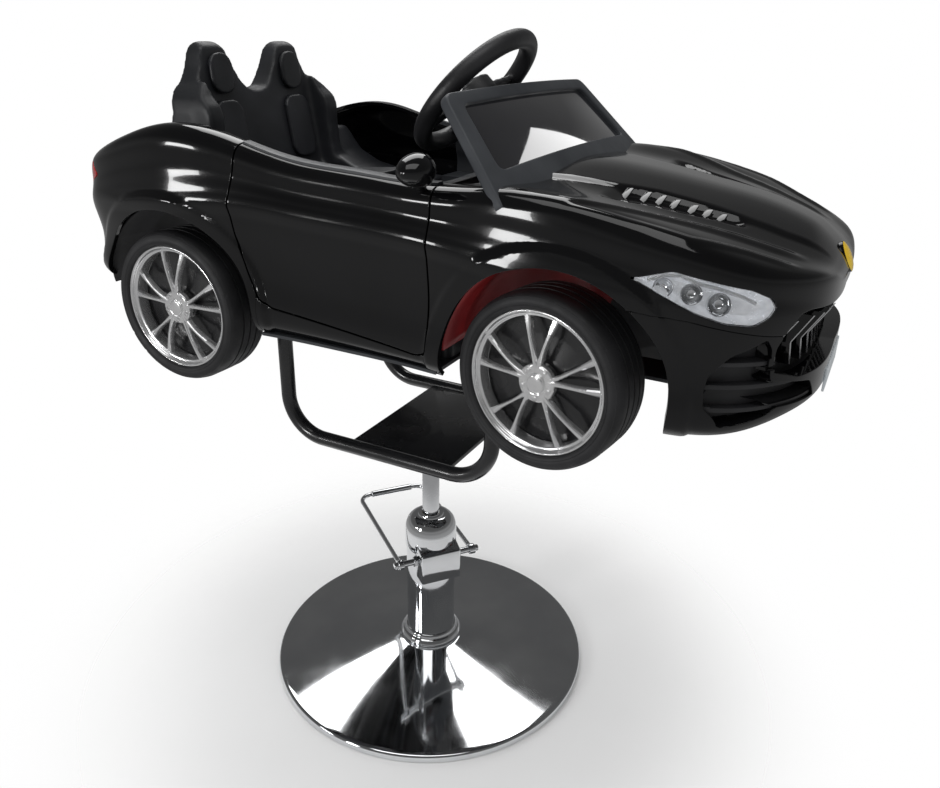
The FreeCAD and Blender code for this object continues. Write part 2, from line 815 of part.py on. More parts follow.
def make_body(outer, inner):
    """The painted panels, cut from one skin so that their edges line up."""
    wide = body_half_width + overrun
    skin = outer.cut(inner)
    skin = skin.cut(arch_cut(arch_radius, -wide, wide) + [cockpit_cut()])

    gap_cuts = []
    for low, high in ((-wide, -door_side_y), (door_side_y, wide)):
        gap_cuts.append(side_prism(door_shares, door_corner, low, high, panel_gap))
    frame = skin.cut(gap_cuts)

    low_z = body_belly - overrun
    high_z = body_z(1) + overrun
    rear_room = box((body_tail - overrun, -wide, low_z), (sill_rear, wide, high_z))
    front_room = box((sill_front, -wide, low_z), (body_x(1) + overrun, wide, high_z))
    bumper_room = side_prism(bumper_shares, running_gap, -wide, wide)
    lamp_room = side_prism(lamp_shares, lamp_corner, -wide, -lamp_inner_y)
    lamp_room = fuse([lamp_room, mirrored(lamp_room)])
    tail_room = tail_lamp_prism(0)

    rear = frame.common(rear_room).cut(fuse([tail_room, mirrored(tail_room)]))
    export(largest(rear, 1), "body_rear")

    grille_room = grille_prism(0, body_x(grille_room_share))
    nose = frame.common(front_room).cut([bumper_room, lamp_room, grille_room])
    export(largest(nose, 1), "body_front")

    pockets, openings = make_intakes()
    bumper = frame.common(bumper_room).cut([lamp_room, grille_room])
    export(largest(fuse([bumper] + pockets).cut(openings), 1), "front_bumper")

    sill_room = box((sill_rear, -wide, low_z), (sill_front, wide, body_z(sill_top_share)))
    export(largest(frame.common(sill_room), 2), "sills")

    for name, sign in (("right", -1), ("left", 1)):
        low, high = sorted((sign * trim_split_y, sign * wide))
        panel = skin.common(side_prism(door_shares, door_corner, low, high))
        panel = largest(panel, 1)
        export(fuse([panel] + hinge_barrels(sign, inner)), "door_" + name)
        make_door_trim(name, sign)
        make_mirror(name, sign)


def largest(shape, count):
    """The biggest solids of a cut, without its slivers."""
    solids = sorted(shape.Solids, key=lambda solid: -solid.Volume)
    return group(solids[:count])


def hinge_barrels(sign, inner):
    """Two barrels on the door's inner face, each on an arm that reaches the skin."""
    pieces = []
    for z in (hinge_low_z, hinge_high_z):
        place = Vector(hinge_x, sign * hinge_y, z)
        barrel = rod(place, up, hinge_barrel_radius, hinge_height)
        low, high = sorted((sign * hinge_y, sign * body_half_width))
        arm = box((hinge_x - hinge_barrel_radius, low, z),
                  (hinge_x + hinge_barrel_radius, high, z + hinge_height))
        piece = fuse([barrel, arm]).common(inner)
        bore = rod(place - up * overrun, up, hinge_pin_radius + running_gap, hinge_height + 2 * overrun)
        pieces.append(largest(piece.cut(bore), 1))
    return pieces


def make_hinges():
    """Pins for the doors, each on an ear that reaches back to the front pillar of the tub."""
    pieces = []
    for sign in (-1, 1):
        for z in (hinge_low_z, hinge_high_z):
            place = Vector(hinge_x, sign * hinge_y, z - hinge_ear - seat_gap)
            pin = rod(place, up, hinge_pin_radius, hinge_ear + hinge_height)
            low, high = sorted((sign * tub_half_width, sign * hinge_y))
            arm = box((hinge_x - hinge_ear_radius, low, place.z),
                      (hinge_x + hinge_ear_radius, high, place.z + hinge_ear))
            eye = rod(place, up, hinge_ear_radius, hinge_ear)
            pieces.append(fuse([pin, arm, eye]))
    return pieces


def make_door_trim(name, sign):
    """The dark trim along the door's top, its inner panel and the ledge under the arm."""
    wide = body_half_width + overrun
    low, high = sorted((sign * door_side_y, sign * (trim_split_y - seat_gap)))
    door_room = side_prism(door_shares, door_corner, low, high)
    door_room = door_room.cut(cockpit_cut())
    cap = body_volume(-trim_proud).cut(body_volume(body_wall + 2 * seat_gap)).common(door_room)
    top_only = box((body_tail, -wide, trim_high), (body_x(1), wide, body_z(1) + overrun))
    cap = largest(cap.common(top_only), 1)

    low, high = sorted((sign * door_side_y, sign * wide))
    lining = body_volume(body_wall + seat_gap).cut(body_volume(body_wall + seat_gap + trim_wall))
    band = box((ledge_rear, low, trim_low), (ledge_front, high, body_z(1)))
    lining = largest(lining.common(band).cut(cockpit_cut()), 1)
    ledge_low, ledge_high = sorted((sign * ledge_inner_y, sign * (body_half_width - sill_tuck)))
    ledge = box((ledge_rear, ledge_low, ledge_top - ledge_thick), (ledge_front, ledge_high, ledge_top))
    ledge = ledge.common(body_volume(body_wall + seat_gap))
    export(fuse([cap, lining, ledge]), "door_trim_" + name)


def make_mirror(name, sign):
    """A door mirror: rounded shell on a short stalk from the door's front corner."""
    centre = Vector(mirror_x, sign * mirror_y, mirror_z)
    shell = box((mirror_x - mirror_length / 2, centre.y - mirror_width / 2, mirror_z - mirror_height / 2),
                (mirror_x + mirror_length / 2, centre.y + mirror_width / 2, mirror_z + mirror_height / 2))
    shell = softened(shell, mirror_edge)
    root = Vector(mirror_x - mirror_length / 2, sign * (trim_split_y + side_tumble / 2), mirror_root_z)
    way = centre - root
    stalk = rod(root, way, mirror_stalk_radius, way.Length)
    export(fuse([shell, stalk]).cut(body_volume(-seat_gap)), "mirror_" + name)


def tail_lamp_prism(gap):
    """The tail lamp's outline on the rear corner, drawn forward from behind the tail."""
    points = [(body_half_width * a, body_z(b)) for a, b in tail_lamp_shares]
    face = rounded(points, lamp_corner, lambda p: Vector(body_tail - overrun, p.x, p.y))
    if gap:
        face = Part.Face(face.OuterWire.makeOffset2D(-gap))
    return face.extrude(ahead * (tail_lamp_front - body_tail + overrun))


def grille_prism(inset, start):
    """The hexagonal grille's outline, drawn forward through the nose."""
    points = [(body_half_width * a, body_z(b)) for a, b in grille_shares]
    face = rounded(points, door_corner, lambda p: Vector(start, p.x, p.y))
    if inset:
        face = Part.Face(face.OuterWire.makeOffset2D(-inset))
    return face.extrude(ahead * (body_x(1) + overrun - start))


def between(value, pairs):
    """Straight-line reading of a table of (place, value) pairs that rise in place."""
    for (a, low), (b, high) in zip(pairs, pairs[1:]):
        if value <= b:
            return low + (high - low) * max(value - a, 0) / (b - a)
    return pairs[-1][1]


def line_height(y, a, b, inset):
    """Height of the line through two (y, z) points, moved square to itself by an inset."""
    slope = (b[1] - a[1]) / (b[0] - a[0])
    return a[1] + slope * (y - a[0]) + inset * math.hypot(1, slope)


def grille_slat(y):
    """One upright slat: its front edge follows the nose and steps back at the kink."""
    nose = [(body_half_width * station[1], body_x(station[0])) for station in reversed(station_shares)
            if station[0] > slat_nose_share]
    front = between(abs(y), nose) - slat_setback
    reach = abs(y) + slat_thick
    far_corner, low_corner, kink_corner, top_corner, crown = [
        (body_half_width * a, body_z(b)) for a, b in grille_shares[:slat_corners]]
    edge = grille_frame_width + seat_gap
    high = min(line_height(reach, crown, top_corner, -edge),
               line_height(reach, top_corner, kink_corner, -edge))
    low = max(line_height(reach, far_corner, low_corner, edge),
              line_height(reach, low_corner, kink_corner, edge))
    middle = low + (high - low) * slat_kink_share
    profile = [(front, high), (front - slat_kink, middle), (front, low)]
    back = [(x - slat_depth, z) for x, z in reversed(profile)]
    return prism_y(profile + back, running_gap, y - slat_thick / 2, y + slat_thick / 2)


def intake_prism(sign, growth):
    """One side intake's outline, drawn forward through the bumper and grown by a wall."""
    points = [(sign * body_half_width * a, body_z(b)) for a, b in intake_shares]
    start = body_x(intake_start_share)
    face = rounded(points, lamp_corner, lambda p: Vector(start, p.x, p.y))
    if growth:
        face = Part.Face(face.OuterWire.makeOffset2D(growth))
    return face.extrude(ahead * (body_x(1) + overrun - start))


def make_intakes():
    """Pockets behind the side intakes, and the openings into them, crossed by fins that stay standing."""
    heights = [body_z(b) for a, b in intake_shares]
    low = min(heights)
    step = (max(heights) - low) / (intake_fin_count + 1)
    fins = []
    for i in range(intake_fin_count):
        z = low + step * (i + 1)
        fins.append(box((body_x(0), -body_half_width, z - intake_fin_thick / 2),
                        (body_x(1) + overrun, body_half_width, z + intake_fin_thick / 2)))
    floor = body_volume(intake_depth)
    back = body_volume(intake_depth + intake_wall)
    shell = body_volume(body_wall / 2).cut(back)
    clear = arch_radius + liner_wall + seat_gap
    pockets = []
    openings = []
    for sign in (-1, 1):
        block = intake_prism(sign, intake_wall).common(shell)
        pockets.append(block.cut(arch_cut(clear, -body_half_width, body_half_width)))
        openings.append(intake_prism(sign, 0).cut(fins + [floor]))
    return pockets, openings


def make_nose_trim():
    """Grille frame and slats, number plate, badge, headlamps and tail lamps."""
    start = body_x(grille_ring_share)
    deep = body_volume(grille_setback + slat_depth)
    ring = grille_prism(seat_gap, start).cut(grille_prism(grille_frame_width, start))
    ring = ring.common(body_volume(0)).cut(deep)
    export(largest(ring, 1), "grille_frame")

    slats = [grille_slat((i - (slat_count - 1) / 2) * slat_pitch) for i in range(slat_count)]
    export(group(slats), "grille_slats")

    half = number_plate_width / 2
    low = number_plate_z - number_plate_height / 2
    front = number_plate_x + number_plate_thick
    plate = box((number_plate_x, -half, low), (front, half, low + number_plate_height))
    bracket = box((number_plate_x - 2 * overrun, -plate_bracket_width / 2, low + number_plate_thick),
                  (number_plate_x, plate_bracket_width / 2, low + number_plate_height / 2))
    bracket = bracket.cut(body_volume(-seat_gap))
    export(largest(fuse([plate, bracket]), 1), "number_plate")

    badge = Part.makeCylinder(badge_height / 2, badge_thick, origin, up)
    stretch = FreeCAD.Matrix()
    stretch.scale(1, badge_length / badge_height, 1)
    badge = badge.transformGeometry(stretch)
    badge.rotate(origin, side, badge_tilt)
    badge.translate(Vector(badge_x, 0, badge_z))
    export(badge.cut(body_volume(-seat_gap)), "nose_badge")

    room = side_prism(lamp_shares, lamp_corner, -body_half_width - overrun, -lamp_inner_y, -lamp_gap)
    lens = largest(room.common(body_volume(seat_gap)).cut(body_volume(lens_wall)), 1)
    bowl = largest(room.common(body_volume(lens_wall + seat_gap)).cut(body_volume(lamp_depth)), 1)
    export(group([lens, mirrored(lens)]), "headlamp_lenses")
    export(group([bowl, mirrored(bowl)]), "headlamp_bowls")

    room = tail_lamp_prism(lamp_gap)
    tail = largest(room.common(body_volume(0)).cut(body_volume(lamp_depth / 2)), 1)
    export(group([tail, mirrored(tail)]), "tail_lamps")


def screen_place(a, b, lift):
    """A point on the windscreen: a from -1 to 1 across it, b from 0 to 1 up it, lifted off its face."""
    half = screen_base_y + (screen_top_y - screen_base_y) * b
    x = screen_base_x + (screen_top_x - screen_base_x) * b
    z = screen_base_z + (screen_top_z - screen_base_z) * b
    slope = Vector(screen_top_z - screen_base_z, 0, screen_base_x - screen_top_x).normalize()
    return Vector(x, a * half, z) + slope * lift


def screen_panel(side_inset, low_inset, high_inset, low_lift, high_lift):
    """A flat slab of the windscreen's outline, set in from its edges."""
    rise = math.hypot(screen_top_z - screen_base_z, screen_base_x - screen_top_x)
    low = low_inset / rise
    high = 1 - high_inset / rise
    narrow = 1 - side_inset / screen_top_y
    corners = [(-narrow, low), (narrow, low), (narrow, high), (-narrow, high)]
    flat = [screen_place(a, b, low_lift) for a, b in corners]
    across = side
    climb = (screen_place(0, 1, 0) - screen_place(0, 0, 0)).normalize()
    start = screen_place(0, 0, low_lift)
    local = [((p - start).dot(across), (p - start).dot(climb)) for p in flat]
    face = rounded(local, screen_corner, lambda p: start + across * p.x + climb * p.y)
    return face.extrude(climb.cross(across) * -(high_lift - low_lift))


def make_windscreen():
    """The windscreen's frame and the pane held in it."""
    lower = -3 * overrun
    panel = screen_panel(0, lower, 0, 0, screen_thick)
    hole = screen_panel(pillar_width, base_rail_width, header_width, -overrun, screen_thick + overrun)
    pane_low = (screen_thick - pane_thick) / 2
    groove = screen_panel(pillar_width - pane_lap - seat_gap, base_rail_width - pane_lap - seat_gap,
                          header_width - pane_lap - seat_gap, pane_low - seat_gap,
                          pane_low + pane_thick + seat_gap)
    frame = panel.cut([hole, groove, body_volume(-seat_gap)])
    export(largest(frame, 1), "windscreen_frame")
    pane = screen_panel(pillar_width - pane_lap, base_rail_width - pane_lap, header_width - pane_lap,
                        pane_low, pane_low + pane_thick)
    export(pane, "windscreen_pane")


def pan_outline(rear, front, half, waist):
    """A plan outline that narrows beside the wheels."""
    corners = []
    for x, beyond in ((wheel_rear_x, half), (wheel_front_x, pan_nose_y)):
        corners += [(x - pan_waist_run, half), (x - pan_waist_run, waist), (x + pan_waist_run, waist),
                    (x + pan_waist_run, beyond)]
    corners = [c for c in corners if rear < c[0] < front]
    first = waist if wheel_rear_x - pan_waist_run < rear else half
    left = [(rear, first)] + corners + [(front, pan_nose_y)]
    right = [(x, -y) for x, y in reversed(left)]
    return left + right


def make_chassis(inner_fit):
    """The floor pan inside the skin, the rear axle in its blocks, and the bolts' holes."""
    outline = pan_outline(pan_rear, pan_front, body_half_width, pan_waist_y)
    pan = prism_z(outline, running_gap, pan_low, pan_low + pan_thick).common(inner_fit)
    pan = largest(pan, 1)
    pieces = [pan]
    top = pan_low + pan_thick
    for sign in (-1, 1):
        y = sign * axle_block_y
        block = box((wheel_rear_x - axle_block_width / 2, y - axle_block_width / 2, top),
                    (wheel_rear_x + axle_block_width / 2, y + axle_block_width / 2, top + axle_block_height))
        pieces.append(block)
    body = fuse(pieces)
    bore = rod(Vector(wheel_rear_x, -body_half_width, wheel_z), side, axle_radius + running_gap,
               2 * body_half_width)
    cuts = [bore]
    for x, y in bolt_places():
        cuts.append(rod(Vector(x, y, pan_low - overrun), up, bolt_radius + running_gap, 2 * overrun))
    export(body.cut(cuts), "chassis_pan")
    half = axle_end_y
    axle = rod(Vector(wheel_rear_x, -half, wheel_z), side, axle_radius, 2 * half)
    export(axle, "rear_axle")


def make_liners(inner_fit):
    """Four round wheel-well liners with an inner wall, open where the axle comes through."""
    liners = []
    for name, x, sign in wheel_places():
        low, high = sorted((sign * liner_inner_y, sign * liner_outer_y))
        outer = rod(Vector(x, low, wheel_z), side, arch_radius + liner_wall, high - low)
        wall_low, wall_high = sorted((sign * (liner_inner_y + liner_wall), sign * (liner_outer_y + overrun)))
        room = rod(Vector(x, wall_low, wheel_z), side, arch_radius, wall_high - wall_low)
        window = rod(Vector(x, low - overrun, wheel_z), side, liner_window, high - low + 2 * overrun)
        below = box((x - 2 * arch_radius, -body_half_width, body_belly - long_overrun),
                    (x + 2 * arch_radius, body_half_width, liner_low))
        liner = outer.cut([room, window, below]).common(inner_fit)
        liners.append(largest(liner, 1))
    export(group(liners), "wheel_liners")


def make_tub(inner_fit):
    """The cockpit tub: a foot well, low sides at the doors and a raised bay under the seat."""
    outline = [(tub_rear, -tub_half_width), (tub_front, -tub_half_width), (tub_front, tub_half_width),
               (tub_rear, tub_half_width)]
    inner_rear, inner_front = tub_rear + tub_wall, tub_front - tub_wall
    inner_half = tub_half_width - tub_wall
    inset = [(inner_rear, -inner_half), (inner_front, -inner_half), (inner_front, inner_half),
             (inner_rear, inner_half)]
    solid = prism_z(outline, 4 * tub_wall, tub_floor, tub_front_top)
    hollow = prism_z(inset, 3 * tub_wall, tub_floor + tub_wall, tub_front_top + overrun)
    tub = solid.cut(hollow)
    sides = box((tub_rear - overrun, -2 * tub_half_width, tub_side_top),
                (hinge_x - hinge_reach / 2, 2 * tub_half_width, tub_front_top + overrun))
    export(largest(tub.cut(sides).common(inner_fit), 1), "cockpit_tub")


def column_frame():
    """The steering column's direction, down and forward, and its square direction up the ring."""
    tilt = math.radians(column_tilt)
    down = Vector(math.cos(tilt), 0, -math.sin(tilt))
    rise = Vector(math.sin(tilt), 0, math.cos(tilt))
    return down, rise, Vector(ring_x, 0, ring_z)


def make_dashboard(inner_fit):
    """The dashboard shelf with its front face and the bearing tube of the steering column."""
    down, rise, centre = column_frame()
    run = dash_front - dash_rear
    climb = dash_top - dash_low
    top_shares = [(dash_rear + a * run, dash_low + b * climb) for a, b in dash_shares]
    shelf = prism_y(top_shares + [(dash_front, dash_low)], dash_wall, -dash_half_width, dash_half_width)
    under = [(x + dash_wall, z - dash_wall) for x, z in top_shares[1:]]
    under = [(top_shares[0][0] + 2 * dash_wall, dash_low - overrun)] + under
    under = under + [(dash_front + overrun, under[-1][1]), (dash_front + overrun, dash_low - overrun)]
    hollow = prism_y(under, running_gap, -dash_half_width + dash_wall, dash_half_width - dash_wall)
    boss = rod(centre + down * boss_start, down, boss_radius, boss_end - boss_start)
    bore = rod(centre, down, column_radius + running_gap, column_length)
    dash = fuse([shelf.cut(hollow).common(inner_fit), boss]).cut(bore)
    export(largest(dash, 1), "dashboard")


def seat_point(a, b):
    """A point of the seat's side profile."""
    return (seat_rear + a * seat_length, seat_low + b * seat_height)


def make_seat():
    """The moulded bench: side profile and back outline together, hollow underneath."""
    profile = [seat_point(a, b) for a, b in seat_side_shares]
    block = prism_y(profile, seat_corner, -seat_half_width, seat_half_width)
    left = [(a * seat_half_width, seat_low + b * seat_height) for a, b in seat_back_shares]
    outline = left[:-1] + [(-y, z) for y, z in reversed(left[1:-1])]
    front = prism_x(outline, seat_corner, seat_rear - overrun, seat_rear + seat_length + overrun)
    seat = block.common(front)
    waist = box((seat_rear - overrun, -2 * seat_half_width, seat_low - overrun),
                (seat_rear + seat_length + overrun, -seat_base_half_width, seat_waist_z))
    seat = seat.cut([waist, mirrored(waist)])
    low = tub_floor + tub_wall + 2 * axle_block_height
    half = seat_base_half_width - seat_shell_wall
    hollow = box((seat_rear + 4 * seat_shell_wall, -half, seat_low - overrun),
                 (seat_rear + seat_length - seat_apron, half, low))
    wing = prism_y([seat_point(a, b) for a, b in seat_wing_shares], seat_shell_wall,
                   seat_wing_inner_y, seat_wing_half_width)
    bolster = prism_y([seat_point(a, b) for a, b in seat_bolster_shares], seat_shell_wall,
                      seat_bolster_inner_y, seat_bolster_outer_y).common(front)
    foot_x, foot_z = seat_point(*seat_side_shares[1])
    apron = box((foot_x - seat_apron, -seat_wing_half_width, foot_z),
                (foot_x, seat_wing_half_width, seat_point(*seat_wing_shares[0])[1] + seat_shell_wall / 2))
    axle = rod(Vector(wheel_rear_x, -body_half_width, wheel_z), side, seat_axle_hole, 2 * body_half_width)
    shell = fuse([seat.cut(hollow), wing, mirrored(wing), bolster, mirrored(bolster), apron]).cut(axle)
    export(largest(shell, 1), "seat_shell")
    return seat


def raised(shape, way, thickness):
    """The layer that a shape's copy adds when it is moved off the shape along one direction."""
    near = shape.copy()
    near.translate(way * seat_gap)
    far = shape.copy()
    far.translate(way * (seat_gap + thickness))
    return far.cut(near)


def make_pads(seat):
    """Raised pads: one behind each head, one behind each back, and the seat cushion."""
    pads = []
    for sign in (-1, 1):
        for width, low, high in ((head_pad_width, head_pad_low, head_pad_high),
                                 (back_pad_width, back_pad_low, back_pad_high)):
            y = sign * pad_offset_y
            inner, outer = y - width / 2, y + width / 2
            corners = [(inner, low), (outer, low), (outer, high), (inner, high)]
            column = prism_x(corners, pad_corner, pad_rear, pad_front)
            pads.append(largest(raised(seat, ahead, pad_thick).common(column), 1))
    half = cushion_width / 2
    corners = [(cushion_rear, -half), (cushion_front, -half), (cushion_front, half), (cushion_rear, half)]
    column = prism_z(corners, pad_corner, cushion_low, cushion_high)
    pads.append(largest(raised(seat, up, cushion_thick).common(column), 1))
    export(group(pads), "seat_pads")


def steer(shape, sign):
    """Turn a front wheel's pieces about its kingpin to the angle at rest."""
    turned_shape = shape.copy()
    turned_shape.rotate(Vector(wheel_front_x, sign * kingpin_y, wheel_z), up, steer_rest_angle)
    return turned_shape


def make_front_axle():
    """The front beam with its kingpins, the two knuckles with their stub axles, and the tie rod."""
    half = knuckle_half_height
    beam = box((wheel_front_x - beam_depth / 2, -beam_half_width, wheel_z - beam_height / 2),
               (wheel_front_x + beam_depth / 2, beam_half_width, wheel_z + beam_height / 2))
    post = box((wheel_front_x - beam_depth / 2, -beam_depth, pan_low + pan_thick),
               (wheel_front_x + beam_depth / 2, beam_depth, wheel_z))
    pieces = [beam, post]
    for sign in (-1, 1):
        low, high = sorted((sign * cheek_inner_y, sign * ear_outer_y))
        for z in (wheel_z - half - seat_gap - ear_thick, wheel_z + half + seat_gap):
            pieces.append(box((wheel_front_x - knuckle_radius, low, z),
                              (wheel_front_x + knuckle_radius, high, z + ear_thick)))
        low, high = sorted((sign * cheek_inner_y, sign * cheek_outer_y))
        pieces.append(box((wheel_front_x - knuckle_radius, low, wheel_z - half - seat_gap - ear_thick),
                          (wheel_front_x + knuckle_radius, high, wheel_z + half + seat_gap + ear_thick)))
        pin_low = Vector(wheel_front_x, sign * kingpin_y, wheel_z - half - ear_thick)
        pieces.append(rod(pin_low, up, kingpin_radius, 2 * (half + ear_thick)))
    export(fuse(pieces), "front_beam")

    for name, sign in (("right", -1), ("left", 1)):
        foot = Vector(wheel_front_x, sign * kingpin_y, wheel_z - half)
        barrel = rod(foot, up, knuckle_radius, 2 * half)
        stub_length = axle_end_y - kingpin_y
        stub = rod(Vector(wheel_front_x, sign * kingpin_y, wheel_z), side * sign, axle_radius, stub_length)
        arm_low = wheel_z + half - arm_thick
        arm = box((wheel_front_x - arm_length, sign * kingpin_y - arm_width / 2, arm_low),
                  (wheel_front_x, sign * kingpin_y + arm_width / 2, arm_low + arm_thick))
        tip_place = Vector(wheel_front_x - arm_length, sign * kingpin_y, arm_low)
        tip = rod(tip_place, up, tie_hole_radius + tie_radius, arm_thick)
        bore = rod(foot - up * overrun, up, kingpin_radius + running_gap, 2 * half + 2 * overrun)
        eye = rod(tip_place - up * overrun, up, tie_hole_radius, 3 * overrun)
        knuckle = fuse([barrel, stub, arm, tip]).cut([bore, eye])
        export(steer(knuckle, sign), "knuckle_" + name)

    shift = -arm_length * math.sin(math.radians(steer_rest_angle))
    x = wheel_front_x - arm_length * math.cos(math.radians(steer_rest_angle))
    z = wheel_z + tie_rise
    bar = rod(Vector(x, -kingpin_y, z), side, tie_radius, 2 * kingpin_y)
    down, rise, centre = column_frame()
    relief = rod(centre, down, crank_disc_radius + fork_relief, column_length + fork_relief)
    pieces = [bar]
    for sign in (-1, 1):
        pin = rod(Vector(x, sign * kingpin_y, wheel_z + half - 2 * arm_thick), up, tie_pin_radius,
                  z - wheel_z - half + 2 * arm_thick)
        pieces.append(pin)
        low, high = sorted((sign * fork_gap, sign * (fork_gap + fork_thick)))
        cheek = box((x - fork_rear, low, z - tie_radius / 2), (x + fork_front, high, fork_top))
        pieces.append(cheek.cut(relief))
    tie = fuse(pieces)
    tie.translate(side * shift)
    export(tie, "tie_rod")


def make_steering():
    """The steering ring with its hub and spokes, the horn button, and the column with its crank."""
    down, rise, centre = column_frame()
    ring = Part.makeTorus(ring_radius, ring_tube_radius, centre, down, 0, 360)
    hub = rod(centre - down * ring_hub_height / 3, down, ring_hub_radius, ring_hub_height)
    pieces = [ring, hub]
    for degrees in ring_spoke_angles:
        angle = math.radians(degrees)
        way = side * math.cos(angle) + rise * math.sin(angle)
        square = down.cross(way)
        start = centre - square * ring_spoke_width / 2 - down * ring_spoke_thick / 2
        profile = Part.Face(Part.makePolygon([start, start + square * ring_spoke_width,
                                              start + square * ring_spoke_width + down * ring_spoke_thick,
                                              start + down * ring_spoke_thick, start]))
        pieces.append(profile.extrude(way * ring_radius))
    wheel = fuse(pieces)
    face = centre - down * ring_hub_height / 3
    pocket_depth = horn_height - horn_travel
    pocket = rod(face - down * overrun, down, horn_radius + seat_gap, overrun + pocket_depth)
    back = face + down * ring_hub_height / 2
    socket = rod(back, down, column_radius + running_gap, ring_hub_height)
    wheel = wheel.cut([pocket, socket])

    column = rod(back, down, column_radius, column_length - ring_hub_height / 6)
    end = centre + down * column_length
    disc = rod(end - down * crank_disc, down, crank_disc_radius, crank_disc)
    pin = rod(end - rise * crank_radius, down, crank_pin_radius, crank_pin_length)
    column = fuse([column, disc, pin])

    button_face = face + down * (pocket_depth - horn_travel - seat_gap - horn_height)
    button = rod(button_face, down, horn_radius, horn_height)
    turn = steer_rest_angle / steer_ratio
    for shape, node in ((wheel, "steering_wheel"), (column, "steering_column"), (button, "horn_button")):
        turned_shape = shape.copy()
        turned_shape.rotate(centre, down, turn)
        export(turned_shape, node)


def make_rim():
    """One rim about the Y axis at the origin, its face towards -Y: lip, barrel, disc, spokes and cap."""
    face = rim_inset
    back = tyre_width - rim_inset
    outside = rim_radius - seat_gap
    inside = rim_radius - rim_wall
    lip_outline = [(outside, face), (outside, back), (inside, back), (inside, face + rim_lip),
                   (rim_radius - rim_lip, face + rim_lip / 2), (rim_radius - rim_lip, face)]
    edges = Part.makePolygon([Vector(r, y, 0) for r, y in lip_outline + lip_outline[:1]])
    barrel = Part.Face(edges).revolve(origin, side, 360)
    disc_at = face + rim_disc_setback
    disc = rod(Vector(0, disc_at, 0), side, rim_radius - rim_wall / 2, rim_disc_thick)
    hub_start = face + cap_disc_height / 2
    hub = rod(Vector(0, hub_start, 0), side, rim_hub_radius, back - hub_start)
    plate_radius = spoke_root_radius + spoke_root_width / 2
    plate = rod(Vector(0, face + rim_lip / 2, 0), side, plate_radius, spoke_depth)
    pieces = [barrel, disc, hub, plate]
    reach = rim_radius - rim_wall / 2
    for i in range(spoke_pairs):
        for lean in (-spoke_pair_angle, spoke_pair_angle):
            root_angle = 360.0 / spoke_pairs * i + 90 + lean / 2
            tip_angle = 360.0 / spoke_pairs * i + 90 + lean
            corners = []
            for radius, angle, width in ((spoke_root_radius / 2, root_angle, spoke_root_width),
                                         (reach, tip_angle, spoke_tip_width)):
                turn = math.radians(angle)
                way = Vector(math.cos(turn), 0, math.sin(turn))
                cross = Vector(-math.sin(turn), 0, math.cos(turn))
                middle = way * radius + side * (face + rim_lip / 2)
                corners.append((middle - cross * width / 2, middle + cross * width / 2))
            outline = [corners[0][0], corners[0][1], corners[1][1], corners[1][0], corners[0][0]]
            pieces.append(Part.Face(Part.makePolygon(outline)).extrude(side * spoke_depth))
    for i in range(spoke_pairs):
        angle = math.radians(360.0 / spoke_pairs * i + 90)
        place = Vector(lug_circle * math.cos(angle), face, lug_circle * math.sin(angle))
        pieces.append(rod(place, side, lug_radius, rim_lip))
    pieces.append(rod(Vector(0, face, 0), side, cap_disc_radius, cap_disc_height))
    rim = fuse(pieces)
    bore_start = face + cap_disc_height
    bore = rod(Vector(0, bore_start, 0), side, axle_radius + running_gap, tyre_width)
    return rim.cut(bore)


def make_tyre():
    """One low tyre about the Y axis at the origin, its outer face towards -Y."""
    shoulder = tyre_crown
    outline = [line_y((rim_radius, 0), (tyre_radius - 2 * shoulder, 0)),
               arc_y((tyre_radius - 2 * shoulder, 0), (tyre_radius - shoulder / 2, shoulder / 2),
                     (tyre_radius, 2 * shoulder)),
               line_y((tyre_radius, 2 * shoulder), (tyre_radius, tyre_width - 2 * shoulder)),
               arc_y((tyre_radius, tyre_width - 2 * shoulder),
                     (tyre_radius - shoulder / 2, tyre_width - shoulder / 2),
                     (tyre_radius - 2 * shoulder, tyre_width)),
               line_y((tyre_radius - 2 * shoulder, tyre_width), (rim_radius, tyre_width)),
               line_y((rim_radius, tyre_width), (rim_radius, 0))]
    return Part.Face(Part.Wire(outline)).revolve(origin, side, 360)


def line_y(a, b):
    """A straight edge between two (radius, distance along Y) points."""
    return Part.LineSegment(Vector(a[0], a[1], 0), Vector(b[0], b[1], 0)).toShape()


def arc_y(a, m, b):
    """An arc edge through three (radius, distance along Y) points."""
    return Part.Arc(Vector(a[0], a[1], 0), Vector(m[0], m[1], 0), Vector(b[0], b[1], 0)).toShape()


def make_wheels():
    """Four tyres on their rims, the front pair turned with the steering."""
    rim = make_rim()
    tyre = make_tyre()
    for name, x, sign in wheel_places():
        for shape, kind in ((rim, "rim_"), (tyre, "tyre_")):
            placed = shape.copy()
            placed.translate(Vector(0, -wheel_outer_y, 0))
            if sign > 0:
                placed = mirrored(placed)
            placed.translate(Vector(x, 0, wheel_z))
            if x == wheel_front_x:
                placed = steer(placed, sign)
            export(placed, kind + name)


def main():
    outer = body_volume(0)
    inner = body_volume(body_wall, 2 * overrun)
    inner_fit = body_volume(body_wall + seat_gap, 2 * overrun)
    make_base()
    make_column()
    make_lever()
    make_lift()
    make_frame()
    make_body(outer, inner)
    export(group(make_hinges()), "door_hinges")
    make_nose_trim()
    make_windscreen()
    make_chassis(inner_fit)
    make_liners(inner_fit)
    make_tub(inner_fit)
    make_dashboard(inner_fit)
    make_pads(make_seat())
    make_front_axle()
    make_steering()
    make_wheels()


main()
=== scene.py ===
# %% [markdown]
# This chair seats a child in a small black roadster that stands on a salon's chrome pump pedestal.
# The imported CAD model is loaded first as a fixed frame: it gives every piece its place in metres, with the
# origin under the middle of the round base, +X to the car's nose and +Z up. The pieces below dress it.

# %% Load the frame
import bmesh
import bpy
import math
import numpy as np
from mathutils import Matrix, Vector


